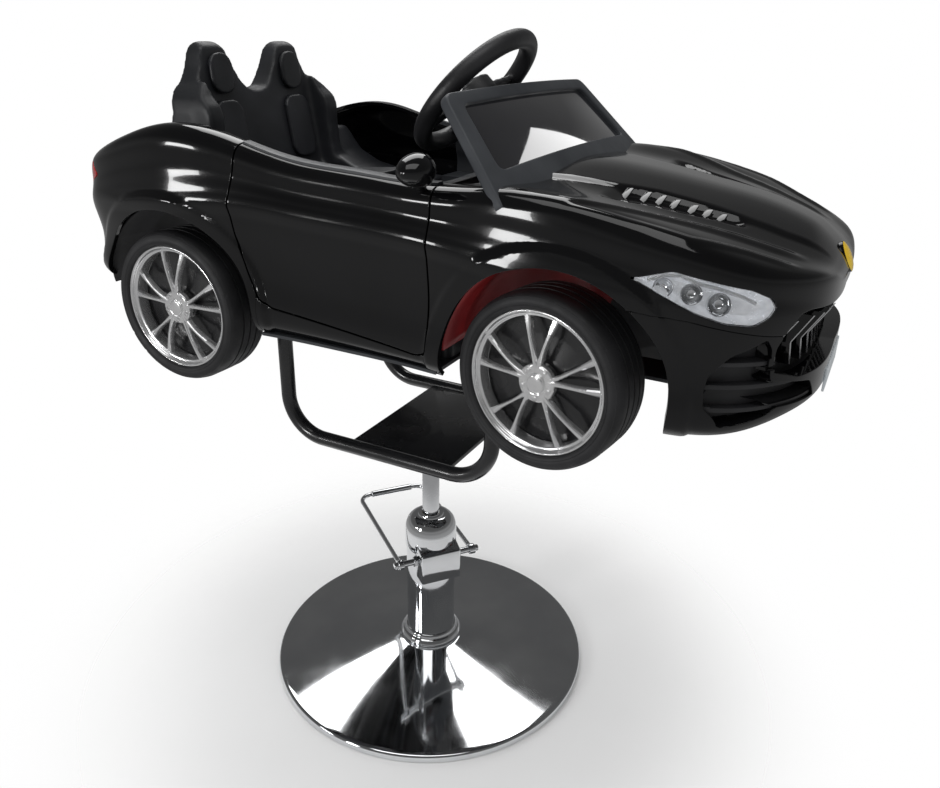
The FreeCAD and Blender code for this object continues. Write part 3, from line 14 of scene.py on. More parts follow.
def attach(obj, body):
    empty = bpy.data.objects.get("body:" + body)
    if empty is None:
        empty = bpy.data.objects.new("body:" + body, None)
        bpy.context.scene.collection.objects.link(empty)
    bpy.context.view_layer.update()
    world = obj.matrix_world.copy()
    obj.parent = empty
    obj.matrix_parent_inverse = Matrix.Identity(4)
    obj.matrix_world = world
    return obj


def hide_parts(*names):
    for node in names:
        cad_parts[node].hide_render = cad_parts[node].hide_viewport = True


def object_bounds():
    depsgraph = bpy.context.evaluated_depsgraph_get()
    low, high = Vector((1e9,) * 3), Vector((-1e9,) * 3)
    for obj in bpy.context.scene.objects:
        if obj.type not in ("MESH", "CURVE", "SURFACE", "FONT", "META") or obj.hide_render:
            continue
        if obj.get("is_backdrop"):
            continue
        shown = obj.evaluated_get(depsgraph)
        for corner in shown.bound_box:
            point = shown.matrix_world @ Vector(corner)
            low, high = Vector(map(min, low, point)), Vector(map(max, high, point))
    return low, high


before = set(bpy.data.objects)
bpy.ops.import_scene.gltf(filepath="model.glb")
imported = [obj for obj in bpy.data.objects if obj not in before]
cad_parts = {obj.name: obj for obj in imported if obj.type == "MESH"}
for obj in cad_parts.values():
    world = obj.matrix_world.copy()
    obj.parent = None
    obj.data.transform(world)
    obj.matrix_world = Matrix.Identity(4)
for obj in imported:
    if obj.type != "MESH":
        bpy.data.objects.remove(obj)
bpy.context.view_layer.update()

# %% [markdown]
# Gloss and satin surfaces only look real when their colour and roughness drift a little, as dust, flow
# marks in the moulding and handling leave them. One small function makes every finish here: a slow noise
# moves the colour, another the roughness, and a fine one gives the grain, all in Object coordinates.

# %% A finish from three noises
def noise(tree, scale, detail=3.0, stretch=(1, 1, 1)):
    """Noise in the piece's own metres."""
    place = tree.nodes.new("ShaderNodeTexCoord")
    mapping = tree.nodes.new("ShaderNodeMapping")
    mapping.inputs["Scale"].default_value = stretch
    texture = tree.nodes.new("ShaderNodeTexNoise")
    texture.inputs["Scale"].default_value = scale
    texture.inputs["Detail"].default_value = detail
    tree.links.new(place.outputs["Object"], mapping.inputs["Vector"])
    tree.links.new(mapping.outputs["Vector"], texture.inputs["Vector"])
    return texture


def finish(name, dark, light, rough, metallic=0.0, coat=0.0, coat_rough=0.03, grain=(900, 0.1), patch=14,
           stretch=(1, 1, 1), clear=0.0, ior=1.5, specular=0.5):
    """A procedural finish: colour between dark and light, roughness between the two values of rough."""
    material = bpy.data.materials.new(name)
    material.use_nodes = True
    tree = material.node_tree
    shader = tree.nodes["Principled BSDF"]
    shader.inputs["Metallic"].default_value = metallic
    shader.inputs["Coat Weight"].default_value = coat
    shader.inputs["Coat Roughness"].default_value = coat_rough
    shader.inputs["Transmission Weight"].default_value = clear
    shader.inputs["IOR"].default_value = ior
    shader.inputs["Specular IOR Level"].default_value = specular
    slow = noise(tree, patch, 4.0, stretch)
    ramp = tree.nodes.new("ShaderNodeValToRGB")
    ramp.color_ramp.elements[0].position = 0.35
    ramp.color_ramp.elements[1].position = 0.65
    ramp.color_ramp.elements[0].color = (*dark, 1)
    ramp.color_ramp.elements[1].color = (*light, 1)
    tree.links.new(slow.outputs["Fac"], ramp.inputs["Fac"])
    tree.links.new(ramp.outputs["Color"], shader.inputs["Base Color"])
    smear = noise(tree, patch * 2.3, 5.0, stretch)
    spread = tree.nodes.new("ShaderNodeMapRange")
    spread.inputs["From Min"].default_value = 0.3
    spread.inputs["From Max"].default_value = 0.7
    spread.inputs["To Min"].default_value = rough[0]
    spread.inputs["To Max"].default_value = rough[1]
    tree.links.new(smear.outputs["Fac"], spread.inputs["Value"])
    tree.links.new(spread.outputs["Result"], shader.inputs["Roughness"])
    fine = noise(tree, grain[0], 2.0)
    bump = tree.nodes.new("ShaderNodeBump")
    bump.inputs["Strength"].default_value = grain[1]
    bump.inputs["Distance"].default_value = 0.0004
    tree.links.new(fine.outputs["Fac"], bump.inputs["Height"])
    tree.links.new(bump.outputs["Normal"], shader.inputs["Normal"])
    return material


gloss_black = finish("gloss_black_paint", (0.0012, 0.0012, 0.0015), (0.0028, 0.0028, 0.0032), (0.06, 0.12),
                     coat=0.5, coat_rough=0.02, grain=(70, 0.010), patch=5, specular=0.25)
enamel_black = finish("black_enamel", (0.006, 0.006, 0.007), (0.014, 0.014, 0.015), (0.18, 0.32),
                      coat=0.6, coat_rough=0.08, grain=(240, 0.04), patch=9)
chrome = finish("polished_chrome", (0.70, 0.71, 0.73), (0.80, 0.81, 0.82), (0.03, 0.085), metallic=1.0,
                grain=(40, 0.01), patch=8)
chrome_rim = finish("plated_rim", (0.76, 0.76, 0.77), (0.88, 0.88, 0.88), (0.14, 0.26), metallic=0.85,
                    grain=(300, 0.04), patch=20)
steel = finish("zinc_plated_steel", (0.34, 0.35, 0.37), (0.47, 0.48, 0.50), (0.26, 0.42), metallic=1.0,
               grain=(600, 0.12), patch=30)
iron = finish("raw_cast_iron", (0.10, 0.10, 0.105), (0.17, 0.165, 0.16), (0.60, 0.80), metallic=0.6,
              grain=(420, 0.6), patch=25)
brass = finish("machined_brass", (0.55, 0.40, 0.17), (0.68, 0.52, 0.26), (0.22, 0.38), metallic=1.0,
               grain=(500, 0.1), patch=30)
rubber = finish("mat_rubber", (0.015, 0.015, 0.015), (0.03, 0.03, 0.03), (0.70, 0.85), grain=(700, 0.3),
                patch=20)
tyre_black = finish("tyre_compound", (0.007, 0.007, 0.008), (0.014, 0.014, 0.016), (0.50, 0.68),
                    grain=(800, 0.22), patch=18)
frame_grey = finish("screen_frame_moulding", (0.030, 0.033, 0.038), (0.048, 0.052, 0.058), (0.42, 0.56),
                    grain=(900, 0.06), patch=8, specular=0.3)
satin_grey = finish("satin_grey_moulding", (0.026, 0.028, 0.032), (0.042, 0.045, 0.050), (0.30, 0.42),
                    grain=(1100, 0.12), patch=10)
satin_black = finish("satin_black_moulding", (0.010, 0.010, 0.011), (0.020, 0.020, 0.022), (0.36, 0.50),
                     grain=(1200, 0.16), patch=10)
seat_plastic = finish("seat_moulding", (0.011, 0.012, 0.014), (0.022, 0.023, 0.027), (0.36, 0.50),
                      grain=(1300, 0.22), patch=9)
liner_red = finish("deep_red_moulding", (0.20, 0.010, 0.012), (0.32, 0.020, 0.022), (0.34, 0.5),
                   grain=(900, 0.12), patch=11)
pale_plate = finish("bare_plate", (0.58, 0.63, 0.66), (0.70, 0.74, 0.76), (0.30, 0.45), grain=(800, 0.05),
                    patch=30)
badge_yellow = finish("bare_badge", (0.72, 0.45, 0.015), (0.84, 0.58, 0.03), (0.22, 0.35), coat=0.6,
                      grain=(900, 0.05), patch=60)
slat_silver = finish("silver_edge", (0.62, 0.62, 0.63), (0.74, 0.74, 0.75), (0.14, 0.26), metallic=1.0,
                     grain=(700, 0.05), patch=40)
lens_clear = finish("clear_lens", (0.95, 0.96, 0.97), (1.0, 1.0, 1.0), (0.01, 0.03), clear=1.0, ior=1.38,
                    grain=(200, 0.02), patch=30)
lens_red = finish("red_lens", (0.42, 0.008, 0.008), (0.58, 0.015, 0.012), (0.08, 0.16), clear=0.35, coat=0.8,
                  grain=(300, 0.02), patch=30)
smoked = finish("smoked_acrylic", (0.010, 0.010, 0.012), (0.018, 0.018, 0.022), (0.03, 0.07), coat=1.0,
                coat_rough=0.01, clear=0.25, grain=(60, 0.01), patch=6)
lamp_silver_painted_glow = finish("lamp_silver_painted_glow", (0.62, 0.64, 0.67), (0.86, 0.87, 0.89), (0.16, 0.30), metallic=0.35,
                     grain=(160, 0.35), patch=60)
# The reflector's silver carries a faint painted glow: an emission standing in for light that the clear cover
# keeps out of the bowl.
painted_glow = lamp_silver_painted_glow.node_tree.nodes["Principled BSDF"].inputs
painted_glow["Emission Color"].default_value = (0.86, 0.88, 0.92, 1)
painted_glow["Emission Strength"].default_value = 0.22
lamp_white = finish("light_guide", (0.78, 0.80, 0.82), (0.88, 0.89, 0.90), (0.10, 0.20), coat=0.8,
                    grain=(400, 0.03), patch=60)
mirror_glass = finish("mirror_glass", (0.75, 0.77, 0.79), (0.82, 0.83, 0.85), (0.02, 0.05), metallic=1.0,
                      grain=(50, 0.01), patch=20)
print("finishes", len(bpy.data.materials))

# %% [markdown]
# Every piece is built in a bmesh and handed over by one function. It sets smooth shading with sharp edges
# where two faces meet at a clear angle, rides the piece on its CAD body so that it moves with the joints,
# and hides the CAD solids it stands for.

# %% Handing a piece over
def hand_over(name, bm, body, materials, stands_for=(), sharp=40):
    """Make the object from a bmesh and attach it to a CAD body."""
    mesh = bpy.data.meshes.new(name)
    bm.to_mesh(mesh)
    bm.free()
    for material in materials:
        mesh.materials.append(material)
    mesh.shade_smooth()
    mesh.set_sharp_from_angle(angle=math.radians(sharp))
    piece = bpy.data.objects.new(name, mesh)
    bpy.context.scene.collection.objects.link(piece)
    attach(piece, body)
    if stands_for:
        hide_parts(*stands_for)
    print(name, len(mesh.polygons), "faces")
    return piece


def refine(piece, kind, name, **settings):
    """Add a modifier and set its values."""
    modifier = piece.modifiers.new(name, kind)
    for key, value in settings.items():
        setattr(modifier, key, value)
    return modifier


def keep_cad(nodes, material):
    """CAD solids whose shape is already right get a finish and stay."""
    for node in nodes:
        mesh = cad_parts[node].data
        mesh.materials.clear()
        mesh.materials.append(material)


# %% [markdown]
# Real edges are never knife sharp, and a tiny radius is what catches the light. Corners in an outline are
# softened by a short curve before the outline is spun, extruded or swept, so the radius is in the shape.

# %% Outlines, turned pieces, slabs and bent rods
def softened(points, radius, steps=4, closed=True):
    """The same outline with each corner replaced by a short curve."""
    corners = [Vector(p) for p in points]
    count = len(corners)
    line = []
    for i, corner in enumerate(corners):
        if not closed and i in (0, count - 1):
            line.append(corner)
            continue
        before = corners[i - 1] - corner
        after = corners[(i + 1) % count] - corner
        start = corner + before.normalized() * min(radius, 0.45 * before.length)
        end = corner + after.normalized() * min(radius, 0.45 * after.length)
        for k in range(steps + 1):
            t = k / steps
            line.append(start * (1 - t) ** 2 + corner * 2 * t * (1 - t) + end * t * t)
    return line


def turn(bm, profile, centre=(0, 0, 0), axis=(0, 0, 1), steps=128, material=0):
    """Spin a (radius, height) profile about an axis; a closed profile gives a ring, an open one a skin."""
    axis = Vector(axis).normalized()
    centre = Vector(centre)
    across = axis.orthogonal().normalized()
    verts = [bm.verts.new(centre + across * r + axis * h) for r, h in profile]
    edges = [bm.edges.new(pair) for pair in zip(verts, verts[1:])]
    known = set(bm.faces)
    bmesh.ops.spin(bm, geom=verts + edges, cent=centre, axis=axis, angle=2 * math.pi, steps=steps,
                   use_merge=True, use_normal_flip=False, use_duplicate=False)
    fresh = [f for f in bm.faces if f not in known]
    own = list({v for f in fresh for v in f.verts})
    bmesh.ops.remove_doubles(bm, verts=own, dist=1e-6)
    fresh = [f for f in bm.faces if f not in known]
    bmesh.ops.recalc_face_normals(bm, faces=fresh)
    for face in fresh:
        face.material_index = material
    return fresh


def slab(bm, outline, thickness, material=0):
    """A flat plate from an outline of 3-D points, thickened along its normal."""
    known = set(bm.faces)
    face = bm.faces.new([bm.verts.new(p) for p in outline])
    face.normal_update()
    push = face.normal * thickness
    grown = bmesh.ops.extrude_face_region(bm, geom=[face], use_keep_orig=True)
    moved = [v for v in grown["geom"] if isinstance(v, bmesh.types.BMVert)]
    bmesh.ops.translate(bm, vec=push, verts=moved)
    fresh = [f for f in bm.faces if f not in known]
    bmesh.ops.recalc_face_normals(bm, faces=fresh)
    for item in fresh:
        item.material_index = material
    return fresh


def round_edges(bm, faces, radius, segments=3, angle=30):
    """Bevel the edges of these faces that turn by more than the angle."""
    edges = {e for f in faces if f.is_valid for e in f.edges}
    sharp = [e for e in edges if len(e.link_faces) == 2 and e.calc_face_angle(0) > math.radians(angle)]
    bmesh.ops.bevel(bm, geom=sharp, offset=radius, offset_type="OFFSET", segments=segments, profile=0.5,
                    affect="EDGES", clamp_overlap=True, material=-1)


def rod_mesh(bm, path, radius, closed=False, sides=24, material=0):
    """Sweep a round section along points by way of a curve object, and add the result to the bmesh."""
    curve = bpy.data.curves.new("path", "CURVE")
    curve.dimensions = "3D"
    spline = curve.splines.new("POLY")
    spline.points.add(len(path) - 1)
    for point, place in zip(spline.points, path):
        point.co = (*place, 1)
    spline.use_cyclic_u = closed
    curve.bevel_depth = radius
    curve.bevel_resolution = sides // 4
    curve.use_fill_caps = True
    holder = bpy.data.objects.new("path", curve)
    bpy.context.scene.collection.objects.link(holder)
    bpy.context.view_layer.update()
    mesh = bpy.data.meshes.new_from_object(holder.evaluated_get(bpy.context.evaluated_depsgraph_get()))
    known = set(bm.faces)
    bm.from_mesh(mesh)
    fresh = [f for f in bm.faces if f not in known]
    own = list({v for f in fresh for v in f.verts})
    bmesh.ops.remove_doubles(bm, verts=own, dist=1e-6)
    fresh = [f for f in bm.faces if f not in known]
    bmesh.ops.recalc_face_normals(bm, faces=fresh)
    for face in fresh:
        face.material_index = material
    bpy.data.objects.remove(holder)
    bpy.data.curves.remove(curve)
    bpy.data.meshes.remove(mesh)
    return fresh


def bent(corners, radius, steps=14):
    """A path through corner points with true arcs of one radius, as a bent tube has."""
    points = [Vector(corners[0])]
    for i in range(1, len(corners) - 1):
        here = Vector(corners[i])
        back = (Vector(corners[i - 1]) - here).normalized()
        onward = (Vector(corners[i + 1]) - here).normalized()
        half = back.angle(onward) / 2
        reach = radius / math.tan(half)
        middle = (back + onward).normalized()
        centre = here + middle * (radius / math.sin(half))
        start = here + back * reach - centre
        end = here + onward * reach - centre
        for k in range(steps + 1):
            points.append(centre + start.normalized().slerp(end.normalized(), k / steps) * radius)
    points.append(Vector(corners[-1]))
    return points


# %% [markdown]
# The round base is a trumpet of chromed sheet over a heavy disc. Its outline is spun: a rolled rim at the
# floor, a long shallow hollow, and a quick rise into the collar. Many steps keep the reflections even.

# %% Base cover and collar
BASE_RADIUS = 0.305
RIM_ROLL = 0.006
COLLAR_RADIUS = 0.060
SLEEVE_RADIUS = 0.047

bm = bmesh.new()
trumpet = [(BASE_RADIUS - 0.0025, 0.0022), (BASE_RADIUS, 0.0022), (BASE_RADIUS, 0.0085)]
for k in range(7):
    angle = math.radians(90 * k / 6)
    trumpet.append((BASE_RADIUS - RIM_ROLL + RIM_ROLL * math.cos(angle), 0.009 + RIM_ROLL * math.sin(angle)))
for k in range(1, 41):
    share = k / 40
    trumpet.append((BASE_RADIUS - RIM_ROLL - share * (BASE_RADIUS - RIM_ROLL - COLLAR_RADIUS),
                    0.015 + 0.025 * share - 0.02 * share * (1 - share)))
trumpet += [(0.0476, 0.040)]
turn(bm, trumpet, steps=256)
hand_over("base_cover_skin", bm, "pedestal", [chrome], ["base_cover"])

bm = bmesh.new()
collar = softened([(0.0473, 0.040), (0.0575, 0.040), (0.0602, 0.0445), (0.0602, 0.0475), (0.0565, 0.0535),
                   (0.0525, 0.0560), (0.0515, 0.0605), (0.0490, 0.0632), (0.0473, 0.0632)], 0.0016, 4, False)
turn(bm, collar, steps=160)
hand_over("base_collar_ring", bm, "pedestal", [chrome], ["base_collar"])
keep_cad(["floor_gasket"], rubber)
keep_cad(["base_ballast"], iron)
keep_cad(["rod_guide"], brass)
keep_cad(["inner_cylinder", "piston_head", "foot_bolts", "door_hinges", "rear_axle", "front_beam",
          "knuckle_right", "knuckle_left", "tie_rod", "steering_column"], steel)

# %% [markdown]
# The pump column is a chromed sleeve with a domed shoulder. A separate cap, a shade wider than the sleeve,
# shows as a fine line round it. The rod rises through the mouth of the cap.

# %% Sleeve, shoulder cap and rising rod
bm = bmesh.new()
turn(bm, softened([(SLEEVE_RADIUS, 0.030), (SLEEVE_RADIUS, 0.2485), (0.0462, 0.2492), (0.0462, 0.2502)],
                  0.0004, 3, False), steps=160)
hand_over("column_sleeve", bm, "pedestal", [chrome], ["pump_sleeve"])

bm = bmesh.new()
dome = [(0.0474, 0.2502), (0.0490, 0.2506), (0.0490, 0.284)]
for k in range(1, 13):
    angle = math.radians(90 * k / 12)
    dome.append((0.025 + 0.024 * math.cos(angle) ** 0.8, 0.284 + 0.0315 * math.sin(angle)))
dome += [(0.0246, 0.3172), (0.0238, 0.3186), (0.0172, 0.3187), (0.0166, 0.3183)]
turn(bm, dome, steps=160)
hand_over("column_cap", bm, "pedestal", [chrome], ["pump_cap"])

bm = bmesh.new()
turn(bm, softened([(0, 0.150), (0.016, 0.150), (0.016, 0.500), (0, 0.500)], 0.0008, 3, False), steps=96)
hand_over("rising_rod", bm, "lift", [chrome], ["piston_rod"])

# %% [markdown]
# The pump block is cast with the lever's shaft through it. On the real one it is a plated cast lump with a
# flat face, a sloped top and rounded edges. Its outline in plan has the column's round bore cut out of the
# back, so the piston passes inside; the outline is raised, its top sloped and its edges bevelled.

# %% Pump block and cross shaft
LEVER_TURN = math.radians(51.1)
ALONG = Vector((math.cos(LEVER_TURN), math.sin(LEVER_TURN), 0))
REACH = Vector((-math.sin(LEVER_TURN), math.cos(LEVER_TURN), 0))
SHAFT = REACH * -0.030 + Vector((0, 0, 0.235))
UP = Vector((0, 0, 1))

BLOCK_HALF, BLOCK_BACK, BLOCK_FACE, BLOCK_FOOT = 0.039, 0.020, 0.057, 0.197
BLOCK_BORE = 0.0437

bm = bmesh.new()
plan = [(-BLOCK_HALF, BLOCK_BACK), (-BLOCK_HALF, BLOCK_FACE),
        (BLOCK_HALF, BLOCK_FACE), (BLOCK_HALF, BLOCK_BACK)]
plan = softened([ALONG * a - REACH * b for a, b in plan], 0.004, 4, False)
for k in range(1, 24):
    a = BLOCK_HALF * (1 - k / 12)
    plan.append(ALONG * a - REACH * math.sqrt(BLOCK_BORE ** 2 - a ** 2))
slab(bm, [p + UP * BLOCK_FOOT for p in plan], 0.060)
middle = sum(v.co.z for v in bm.verts) / len(bm.verts)
for v in bm.verts:
    slope = np.interp(-v.co.dot(REACH), (BLOCK_BACK, 0.040, BLOCK_FACE), (0.271, 0.266, 0.257))
    v.co.z = slope if v.co.z > middle else BLOCK_FOOT
round_edges(bm, list(bm.faces), 0.0028, 4, 50)
hand_over("pump_block", bm, "pedestal", [chrome], ["pump_housing"])

bm = bmesh.new()
turn(bm, softened([(0, -0.086), (0.006, -0.086), (0.006, 0.086), (0, 0.086)], 0.0012, 3, False),
     SHAFT, ALONG, 48)
for sign in (-1, 1):
    start = 0.0400 if sign > 0 else -0.0470
    nut = [(0.0064, start), (0.0105, start), (0.0105, start + 0.007), (0.0064, start + 0.007)]
    ring = softened(nut, 0.001, 3)
    turn(bm, ring + [ring[0]], SHAFT, ALONG, 6)
hand_over("lever_cross_shaft", bm, "lever", [chrome], ["lever_shaft"])

# %% [markdown]
# The foot lever is one steel rod bent to a long loop, with a thicker sleeve where the shoe presses. A bent
# rod is a swept circle on straight runs and true arcs, and its eyes are short rings round the shaft.

# %% Foot lever
bm = bmesh.new()
half, reach_end = 0.073, 0.269
corners = [SHAFT - ALONG * half + REACH * 0.006, SHAFT - ALONG * half + REACH * reach_end,
           SHAFT + ALONG * half + REACH * reach_end, SHAFT + ALONG * half + REACH * 0.006]
rod_mesh(bm, bent(corners, 0.026), 0.0045)
grip = SHAFT + REACH * reach_end
turn(bm, softened([(0.0040, -0.045), (0.0065, -0.045), (0.0065, 0.045), (0.0040, 0.045)], 0.0015, 4, False),
     grip, ALONG, 48)
for sign in (-1, 1):
    eye = [(0.0061, -0.0055), (0.010, -0.0055), (0.010, 0.0055), (0.0061, 0.0055)]
    ring = softened(eye, 0.0012, 3)
    turn(bm, ring + [ring[0]], SHAFT + ALONG * half * sign, ALONG, 48)
hand_over("foot_lever", bm, "lever", [chrome], ["lever_bail"])

# %% [markdown]
# Above the rod a socket carries a flat plate, and two loops of black tube rise from the plate to the car.
# The plate is bare enamelled steel with rounded edges, and each loop ends in two flat feet under the car.

# %% Hub, plate and tube loops
bm = bmesh.new()
turn(bm, softened([(0.0161, 0.430), (0.028, 0.430), (0.030, 0.433), (0.030, 0.493), (0.036, 0.4995),
                   (0.048, 0.5005), (0.048, 0.506), (0.0161, 0.506)], 0.0012, 3, False), steps=96)
hand_over("swivel_hub", bm, "carrier", [enamel_black], ["hub_socket"])

bm = bmesh.new()
slab(bm, softened([(-0.075, -0.1395, 0.506), (0.116, -0.1395, 0.506), (0.116, 0.1395, 0.506),
                   (-0.075, 0.1395, 0.506)], 0.004, 4), 0.008)
round_edges(bm, list(bm.faces), 0.0012, 3, 60)
hand_over("seat_plate", bm, "carrier", [enamel_black], ["cross_plate"])

LOOP_X, LOOP_Y, LOOP_LOW, LOOP_TOP = 0.196, 0.152, 0.510, 0.7297

for name, sign in (("left", 1), ("right", -1)):
    bm = bmesh.new()
    y = LOOP_Y * sign
    loop = [(-LOOP_X, y, LOOP_TOP), (-LOOP_X, y, LOOP_LOW), (LOOP_X, y, LOOP_LOW), (LOOP_X, y, LOOP_TOP)]
    rod_mesh(bm, bent(loop, 0.070, 20), 0.0125, sides=32)
    for x in (-LOOP_X, LOOP_X):
        low, high = sorted((sign * 0.118, sign * 0.1645))
        corners = [(x - 0.032, low), (x + 0.032, low), (x + 0.032, high), (x - 0.032, high)]
        foot = slab(bm, softened([(*corner, LOOP_TOP) for corner in corners], 0.006, 4), 0.004)
        round_edges(bm, foot, 0.0008, 2, 60)
    for sign_x in (-1, 1):
        weld = Vector((sign_x * 0.06, y - sign * 0.0115, LOOP_LOW))
        rod_mesh(bm, [weld + Vector((-0.016, 0, 0)), weld + Vector((0.050 if sign_x > 0 else 0.016, 0, 0))],
                 0.0028, sides=12)
    hand_over("tube_loop_" + name + "_bent", bm, "carrier", [enamel_black],
              ["tube_loop_" + name])

# %% [markdown]
# A show car's wheel is what the eye goes to, so it is built up as the real casting is: a turned barrel with
# a stepped, rolled lip, a dark dished disc behind, five pairs of slim spokes that lean apart towards the
# rim, lug recesses between the pairs and a domed cap. It is built once about the Y axis, face towards -Y.

# %% Rim
TYRE_RADIUS = 0.120
WHEEL_FACE = -0.290
WHEEL_Z = 0.754
AXLE_X = {"rear": -0.299, "front": 0.329}
Y_AXIS = Vector((0, 1, 0))
SPOKE_FOOT, SPOKE_END = 0.019, 0.0892


def rim_mesh():
    """The plated wheel with its barrel, disc, paired spokes, boss, cap and lug recesses."""
    bm = bmesh.new()
    lip = [(0.0977, 0.0100), (0.0977, 0.0062), (0.0965, 0.0052), (0.0950, 0.0052), (0.0936, 0.0068),
           (0.0925, 0.0098), (0.0912, 0.0112), (0.0890, 0.0118), (0.0880, 0.0130), (0.0878, 0.0300),
           (0.0900, 0.0340), (0.0900, 0.0700), (0.0940, 0.0790), (0.0977, 0.0790), (0.0977, 0.0740),
           (0.0950, 0.0700), (0.0950, 0.0180), (0.0977, 0.0140)]
    ring = softened(lip, 0.0012, 3)
    turn(bm, ring + [ring[0]], (0, 0, 0), Y_AXIS, 128)
    dish = [(0.0895, 0.0330), (0.060, 0.0345), (0.030, 0.0300), (0.0160, 0.0260), (0.0160, 0.0700),
            (0.0062, 0.0700), (0.0062, 0.0180), (0.0150, 0.0180), (0.030, 0.0365), (0.060, 0.0385),
            (0.0895, 0.0370)]
    ring = softened(dish, 0.001, 2)
    turn(bm, ring + [ring[0]], (0, 0, 0), Y_AXIS, 96, material=1)
    for pair in range(5):
        for lean in (-1, 1):
            face = None
            for k in range(9):
                t = k / 8
                radius = SPOKE_FOOT + t * (SPOKE_END - SPOKE_FOOT)
                spread = math.radians(4.6 + 8.6 * t ** 0.9 + 1.6 * math.sin(math.pi * t))
                angle = math.radians(72 * pair + 90) + lean * spread
                way = Vector((math.cos(angle), 0, math.sin(angle)))
                cross = Vector((-math.sin(angle), 0, math.cos(angle)))
                width = 0.0072 - 0.0026 * math.sin(math.pi * min(t * 1.1, 1)) + 0.0018 * t ** 6
                front = 0.0075 + 0.0042 * t - 0.003 * math.sin(math.pi * t)
                back = front + 0.0100
                cut = [(-0.5, back), (-0.5, front + 0.0018), (-0.26, front), (0.26, front),
                       (0.5, front + 0.0018), (0.5, back)]
                places = [way * radius + cross * (a * width) + Y_AXIS * y for a, y in cut]
                if face is None:
                    face = bm.faces.new([bm.verts.new(p) for p in places])
                    made = [face]
                    continue
                ring = list(face.verts)
                grown = bmesh.ops.extrude_face_region(bm, geom=[face], use_keep_orig=k == 1)
                face = next(g for g in grown["geom"] if isinstance(g, bmesh.types.BMFace))
                lifted = set(face.verts)
                for v, place in zip(ring, places):
                    next(e.other_vert(v) for e in v.link_edges if e.other_vert(v) in lifted).co = place
                made += [f for v in face.verts for f in v.link_faces]
            bmesh.ops.recalc_face_normals(bm, faces=list({f for f in made if f.is_valid}))
    boss = [(0, 0.0090), (0.0130, 0.0090), (0.0150, 0.0076), (0.0245, 0.0082), (0.0262, 0.0100),
            (0.0262, 0.0180), (0, 0.0180)]
    turn(bm, softened(boss, 0.0012, 3, False), (0, 0, 0), Y_AXIS, 96)
    cap = [(0, 0.0040), (0.006, 0.0042), (0.0110, 0.0050), (0.0122, 0.0062), (0.0122, 0.0100)]
    turn(bm, softened(cap, 0.0008, 3, False), (0, 0, 0), Y_AXIS, 64)
    for k in range(5):
        angle = math.radians(72 * k + 90 + 36)
        place = (0.0198 * math.cos(angle), 0, 0.0198 * math.sin(angle))
        well = [(0.0034, 0.0078), (0.0040, 0.0072), (0.0046, 0.0078), (0.0046, 0.0110)]
        turn(bm, softened(well, 0.0003, 2, False), place, Y_AXIS, 24)
        turn(bm, [(0, 0.0066), (0.0022, 0.0066), (0.0028, 0.0072), (0.0028, 0.0110)], place, Y_AXIS, 6)
    return bm


# %% [markdown]
# The tyre is a low moulded one. Its sidewall bulges a little past the rim, a fine ring marks the bead, and
# the shoulder carries short blocks cut by grooves. The tread grooves run round the crown; the blocks are
# raised from the faces between them.

# %% Tyre
def tyre_mesh():
    """The tyre, spun from its section, with raised shoulder blocks."""
    bm = bmesh.new()
    crown = [(0.0982, 0.0100), (0.0982, 0.0052), (0.0992, 0.0032), (0.1005, 0.0022), (0.1030, 0.0014),
             (0.1036, 0.0018), (0.1044, 0.0012), (0.1075, 0.0008), (0.1110, 0.0016), (0.1140, 0.0034),
             (0.1162, 0.0060), (0.1176, 0.0092), (0.1185, 0.0130), (0.1192, 0.0165), (0.1196, 0.0200),
             (0.1198, 0.0255), (0.1178, 0.0260), (0.1178, 0.0290), (0.1199, 0.0295), (0.1200, 0.0405),
             (0.1180, 0.0410), (0.1180, 0.0440), (0.1200, 0.0445), (0.1199, 0.0555), (0.1178, 0.0560),
             (0.1178, 0.0590), (0.1198, 0.0595), (0.1196, 0.0650), (0.1192, 0.0685), (0.1185, 0.0720),
             (0.1176, 0.0758), (0.1162, 0.0790), (0.1140, 0.0816), (0.1110, 0.0834), (0.1075, 0.0842),
             (0.1030, 0.0836), (0.0992, 0.0818), (0.0982, 0.0798)]
    steps = 180
    faces = turn(bm, crown, (0, 0, 0), Y_AXIS, steps)
    blocks = []
    for face in faces:
        middle = face.calc_center_median()
        radius = math.hypot(middle.x, middle.z)
        outer = radius > 0.1150 and (middle.y < 0.0165 or middle.y > 0.0685)
        turn_share = (math.atan2(middle.z, middle.x) / (2 * math.pi) * 60) % 1
        if outer and turn_share < 0.67:
            blocks.append(face)
    bmesh.ops.inset_region(bm, faces=blocks, thickness=0.0003, depth=0.0006, use_even_offset=True,
                           use_boundary=True)
    for v in bm.verts:
        reach = math.hypot(v.co.x, v.co.z)
        if reach > TYRE_RADIUS:
            v.co.x *= TYRE_RADIUS / reach
            v.co.z *= TYRE_RADIUS / reach
    return bm


STEER_REST = math.radians(-7.6)
for end in ("rear", "front"):
    for hand, sign in (("right", -1), ("left", 1)):
        place = Matrix.Translation((AXLE_X[end], 0, WHEEL_Z))
        if end == "front":
            pivot = Matrix.Translation((AXLE_X[end], sign * 0.178, WHEEL_Z))
            place = pivot @ Matrix.Rotation(STEER_REST, 4, "Z") @ pivot.inverted() @ place
        for kind, maker, finishes in (("rim", rim_mesh, [chrome_rim, enamel_black]),
                                      ("tyre", tyre_mesh, [tyre_black])):
            bm = maker()
            bmesh.ops.translate(bm, vec=(0, WHEEL_FACE, 0), verts=bm.verts)
            if sign > 0:
                bmesh.ops.scale(bm, vec=(1, -1, 1), verts=bm.verts)
                bmesh.ops.reverse_faces(bm, faces=bm.faces)
            bmesh.ops.transform(bm, matrix=place, verts=bm.verts)
            node = kind + "_" + end + "_" + hand
            hand_over(node + "_turned", bm, "wheel_" + end + "_" + hand, finishes, [node])

